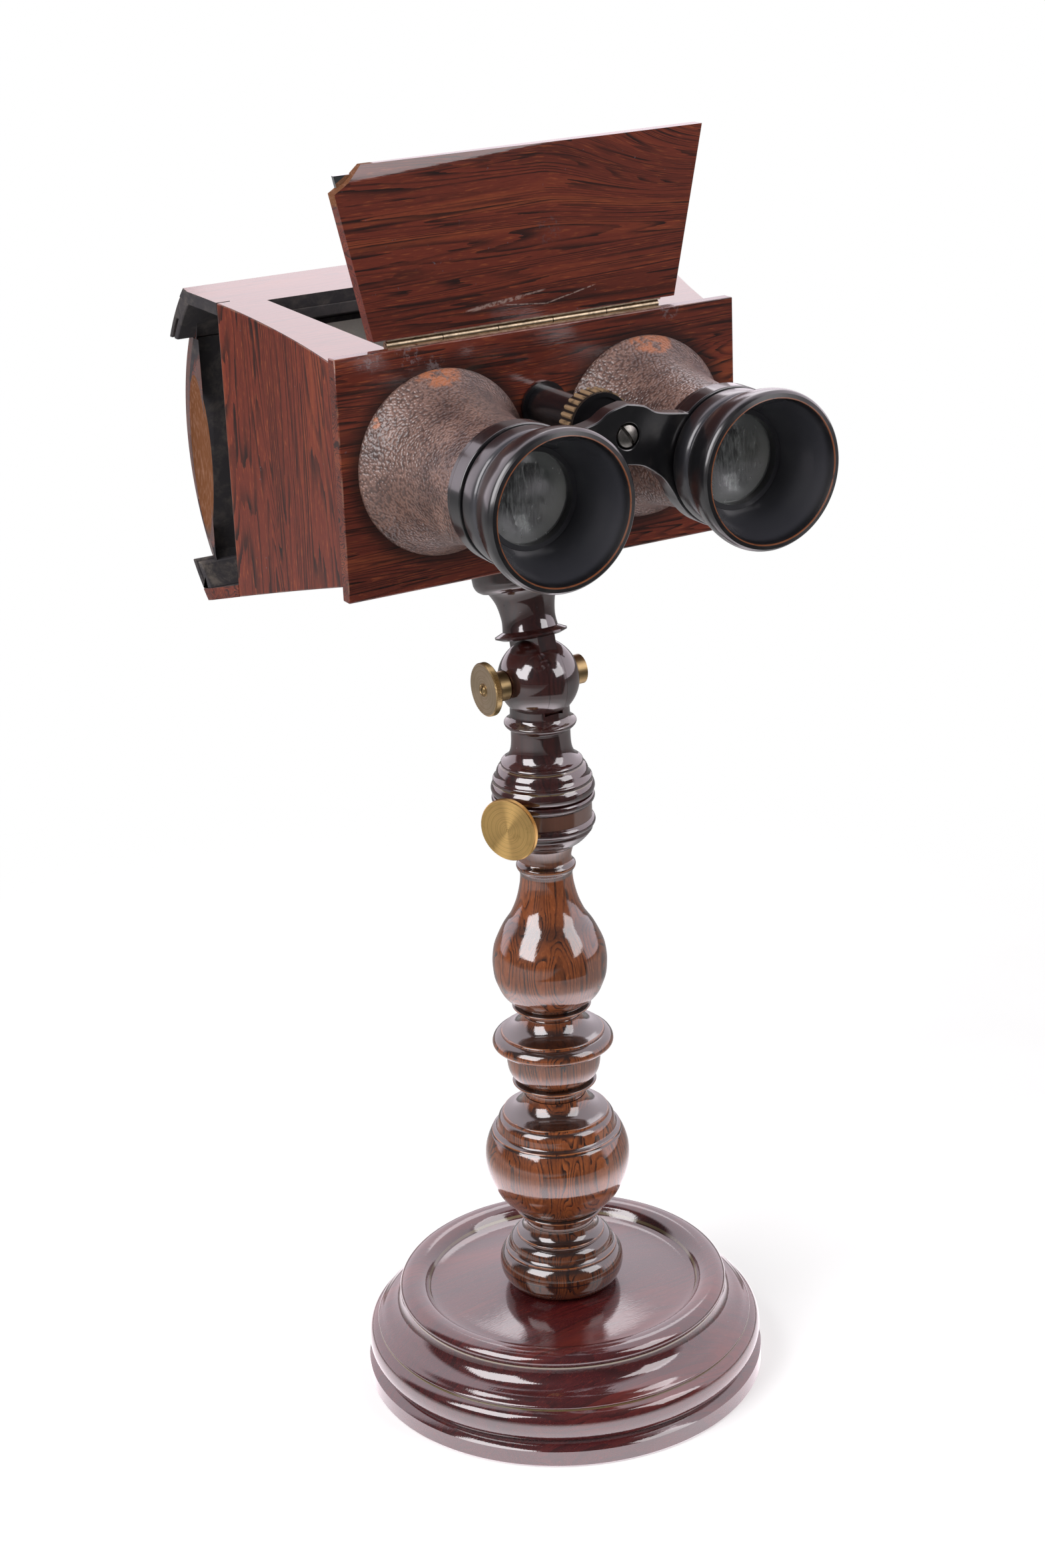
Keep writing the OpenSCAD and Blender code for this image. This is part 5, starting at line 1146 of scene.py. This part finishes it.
class LidOperator(bpy.types.Operator):
    """Dresses the lid, its mirror and its hinge"""
    bl_idname = "stereo.lid"
    bl_label = "Lid and hinge"

    def execute(self, context):
        woods, fittings = context.scene.stereo_woods, context.scene.stereo_fittings
        run, shift = (0.04, 0.6, 1), (60, 0, 31)

        def sweep(tree, where):
            """The lines sweep down towards the tip's right corner"""
            place = add(tree, PARTS, millimetres(tree)).outputs
            lean = add(tree, TIMES,
                       add(tree, STEP, place[0], 5.0, 75.0), add(tree, STEP, place[2], 398.0, 436.0))
            lift = add(tree, "CombineXYZ", 0.0, 0.0, add(tree, TIMES, lean, 26.0))
            return add(tree, "VectorMath.ADD", where, lift)

        def scratched(tree, shade):
            place = millimetres(tree)
            x, _, z = add(tree, PARTS, place).outputs
            front = facing(tree, (0, -1, 0), 0.7, 0.9)
            rough = cloud(tree, place, 1.5, 4.0, 0.5, 0.7)
            marks = None
            for x0, z0, x1, z1, width in SCRATCHES:
                slope = (z1 - z0) / (x1 - x0)
                off = add(tree, LESS, z, add(tree, PLUS, add(tree, TIMES, x, slope), z0 - slope * x0))
                off = add(tree, "Math.ABSOLUTE", off)
                line = add(tree, TIMES,
                           add(tree, STEP, off, width, width * 0.4), between(tree, x, x0, x1, 1.5))
                marks = line if marks is None else add(tree, LARGER, marks, line)
            marks = add(tree, TIMES, add(tree, TIMES, marks, front), add(tree, STEP, rough, 0.36, 0.56))
            shade = laid(tree, shade, woods.scratch, marks, 0.6)
            smudge = add(tree, TIMES, add(tree, STEP, nearest(tree, place, [(9.0, -2.6, 408.8, 6.0)]),
                                          1.0, 0.4), add(tree, STEP, rough, 0.5, 0.66))
            return laid(tree, shade, woods.smudge, smudge, 0.5)

        def chip(tree):
            x, _, z = add(tree, PARTS, millimetres(tree)).outputs
            corner = add(tree, TIMES, add(tree, STEP, x, -50.0, -51.0), add(tree, STEP, z, 424.0, 425.0))
            side = add(tree, "Math.ABSOLUTE",
                       add(tree, PARTS, add(tree, "TexCoord").outputs["Normal"]).outputs[1])
            return add(tree, TIMES, corner, add(tree, STEP, side, 0.6, 0.4))

        more = {"tint": scratched, "bend": sweep, "bare": chip}
        board("lid", board_wood("rosewood lid", run, shift, **more),
              board_wood("rosewood edge of the lid", run, shift, worn=True, **more))
        fitting("lid_mirror", silvered_mirror())
        brass = plain_metal("aged hinge brass", fittings.brass_old, 0.28)
        for node in ("hinge_leaf_roof", "hinge_leaf_lid", "hinge_pin", "hinge_screws", "lid_screws"):
            fitting(node, brass)
        fitting("flange_screws", plain_metal("screw steel", fittings.steel, 0.3))
        return {"FINISHED"}


class BarrelOperator(bpy.types.Operator):
    """Turns the leather covers and the barrels inside them"""
    bl_idname = "stereo.barrels"
    bl_label = "Barrels"

    def execute(self, context):
        leather = sleeve_leather()
        black = black_lacquer((), name="black lacquer of the barrels")
        for side, x in LENS_SIDES.items():
            place = {"centre": (x, 0, LENS_HEIGHT), "axis": (0, 1, 0), "toward": (0, 0, 1)}
            turning("leather_" + side, leather, **place)
            turning("barrel_" + side, black, **place)
        return {"FINISHED"}


class EyepieceOperator(bpy.types.Operator):
    """Turns the draw tubes, eyecups and lenses and finishes the bridge between them"""
    bl_idname = "stereo.eyepieces"
    bl_label = "Eyepieces"

    def execute(self, context):
        black = black_lacquer(satin=0.05)
        glass = lens_glass()
        for side, x in LENS_SIDES.items():
            place = {"centre": (x, 0, LENS_HEIGHT), "axis": (0, 1, 0), "toward": (0, 0, 1)}
            for node in ("draw_tube_", "eyecup_", "lens_ring_"):
                turning(node + side, black, **place)
            turning("lens_" + side, glass, **place)
        bm = merged_copy("eyepiece_bridge")
        bmesh.ops.dissolve_limit(bm, angle_limit=math.radians(0.5), verts=bm.verts, edges=bm.edges)
        plain = black_lacquer((), name="black lacquer of the bridge")
        bridge = dressed("eyepiece_bridge", "_plate", bm, [plain])
        rounded(bridge, context.scene.stereo_sizes.bridge_edge, segments=3, angle=40.0)
        return {"FINISHED"}


class FocusOperator(bpy.types.Operator):
    """Finishes the focusing screw, its wheel and its housing"""
    bl_idname = "stereo.focus"
    bl_label = "Focus"

    def execute(self, context):
        fittings = context.scene.stereo_fittings
        steel = plain_metal("bright steel", fittings.steel, 0.25)
        turning("focus_housing", black_lacquer((), name="black lacquer of the housing"), centre=FOCUS_PLACE,
                axis=(0, 1, 0), toward=(0, 0, 1))
        radius = max(math.hypot(vert.co.x, vert.co.z - FOCUS_PLACE[2])
                     for vert in NODES["focus_wheel"].data.vertices)
        fitting("focus_wheel", wheel_finish(1000 * radius), sharp=25.0)
        fitting("focus_screw", steel)
        section = [(0.0, 0.0009), (0.0015, 0.00075), (0.0026, 0.0004), (0.0034, -0.0001), (0.00375, -0.0008),
                   (0.0038, -0.0016)]
        cut = (0.0005, 0.0036, 0.0012)
        screw_head("slotted_screw_domed", body_of("slotted_screw"), steel, Vector(SCREW_PLACE),
                   Vector((0, -1, 0)), section, cut, Vector((1, 0, 0)), ["slotted_screw"])
        return {"FINISHED"}


OPERATORS = (StageOperator, BaseOperator, ColumnOperator, ClampOperator, CaseOperator, RailOperator,
             BackOperator, LidOperator, BarrelOperator, EyepieceOperator, FocusOperator)


class StereoscopePanel(bpy.types.Panel):
    """Lists the operators that dress the stereoscope and the sizes and colours they use"""
    bl_idname = "STEREO_PT_pieces"
    bl_label = "Pedestal stereoscope"
    bl_space_type = "VIEW_3D"
    bl_region_type = "UI"
    bl_category = "Stereoscope"

    def draw(self, context):
        for operator in OPERATORS:
            self.layout.operator(operator.bl_idname)
        for name in GROUPS:
            box = self.layout.box()
            group = getattr(context.scene, name)
            for key in group.bl_rna.properties.keys():
                if key not in ("rna_type", "name"):
                    box.prop(group, key)


GROUPS = {
    "stereo_woods": WoodColours,
    "stereo_fittings": FittingColours,
    "stereo_sizes": PieceSizes,
    "stereo_stage": StageSizes,
}


def register():
    """Registers the property groups, the operators and the panel"""
    for name, group in GROUPS.items():
        bpy.utils.register_class(group)
        setattr(bpy.types.Scene, name, PointerProperty(type=group))
    for operator in OPERATORS:
        bpy.utils.register_class(operator)
    bpy.utils.register_class(StereoscopePanel)


def unregister():
    """Takes the panel, the operators and the property groups out again"""
    bpy.utils.unregister_class(StereoscopePanel)
    for operator in reversed(OPERATORS):
        bpy.utils.unregister_class(operator)
    for name, group in GROUPS.items():
        delattr(bpy.types.Scene, name)
        bpy.utils.unregister_class(group)


def main():
    """Builds every piece"""
    register()
    bpy.ops.stereo.stage()
    bpy.ops.stereo.base()
    bpy.ops.stereo.column()
    bpy.ops.stereo.clamps()
    bpy.ops.stereo.case()
    bpy.ops.stereo.rails()
    bpy.ops.stereo.back()
    bpy.ops.stereo.lid()
    bpy.ops.stereo.barrels()
    bpy.ops.stereo.eyepieces()
    bpy.ops.stereo.focus()


if __name__ == "__main__":
    main()
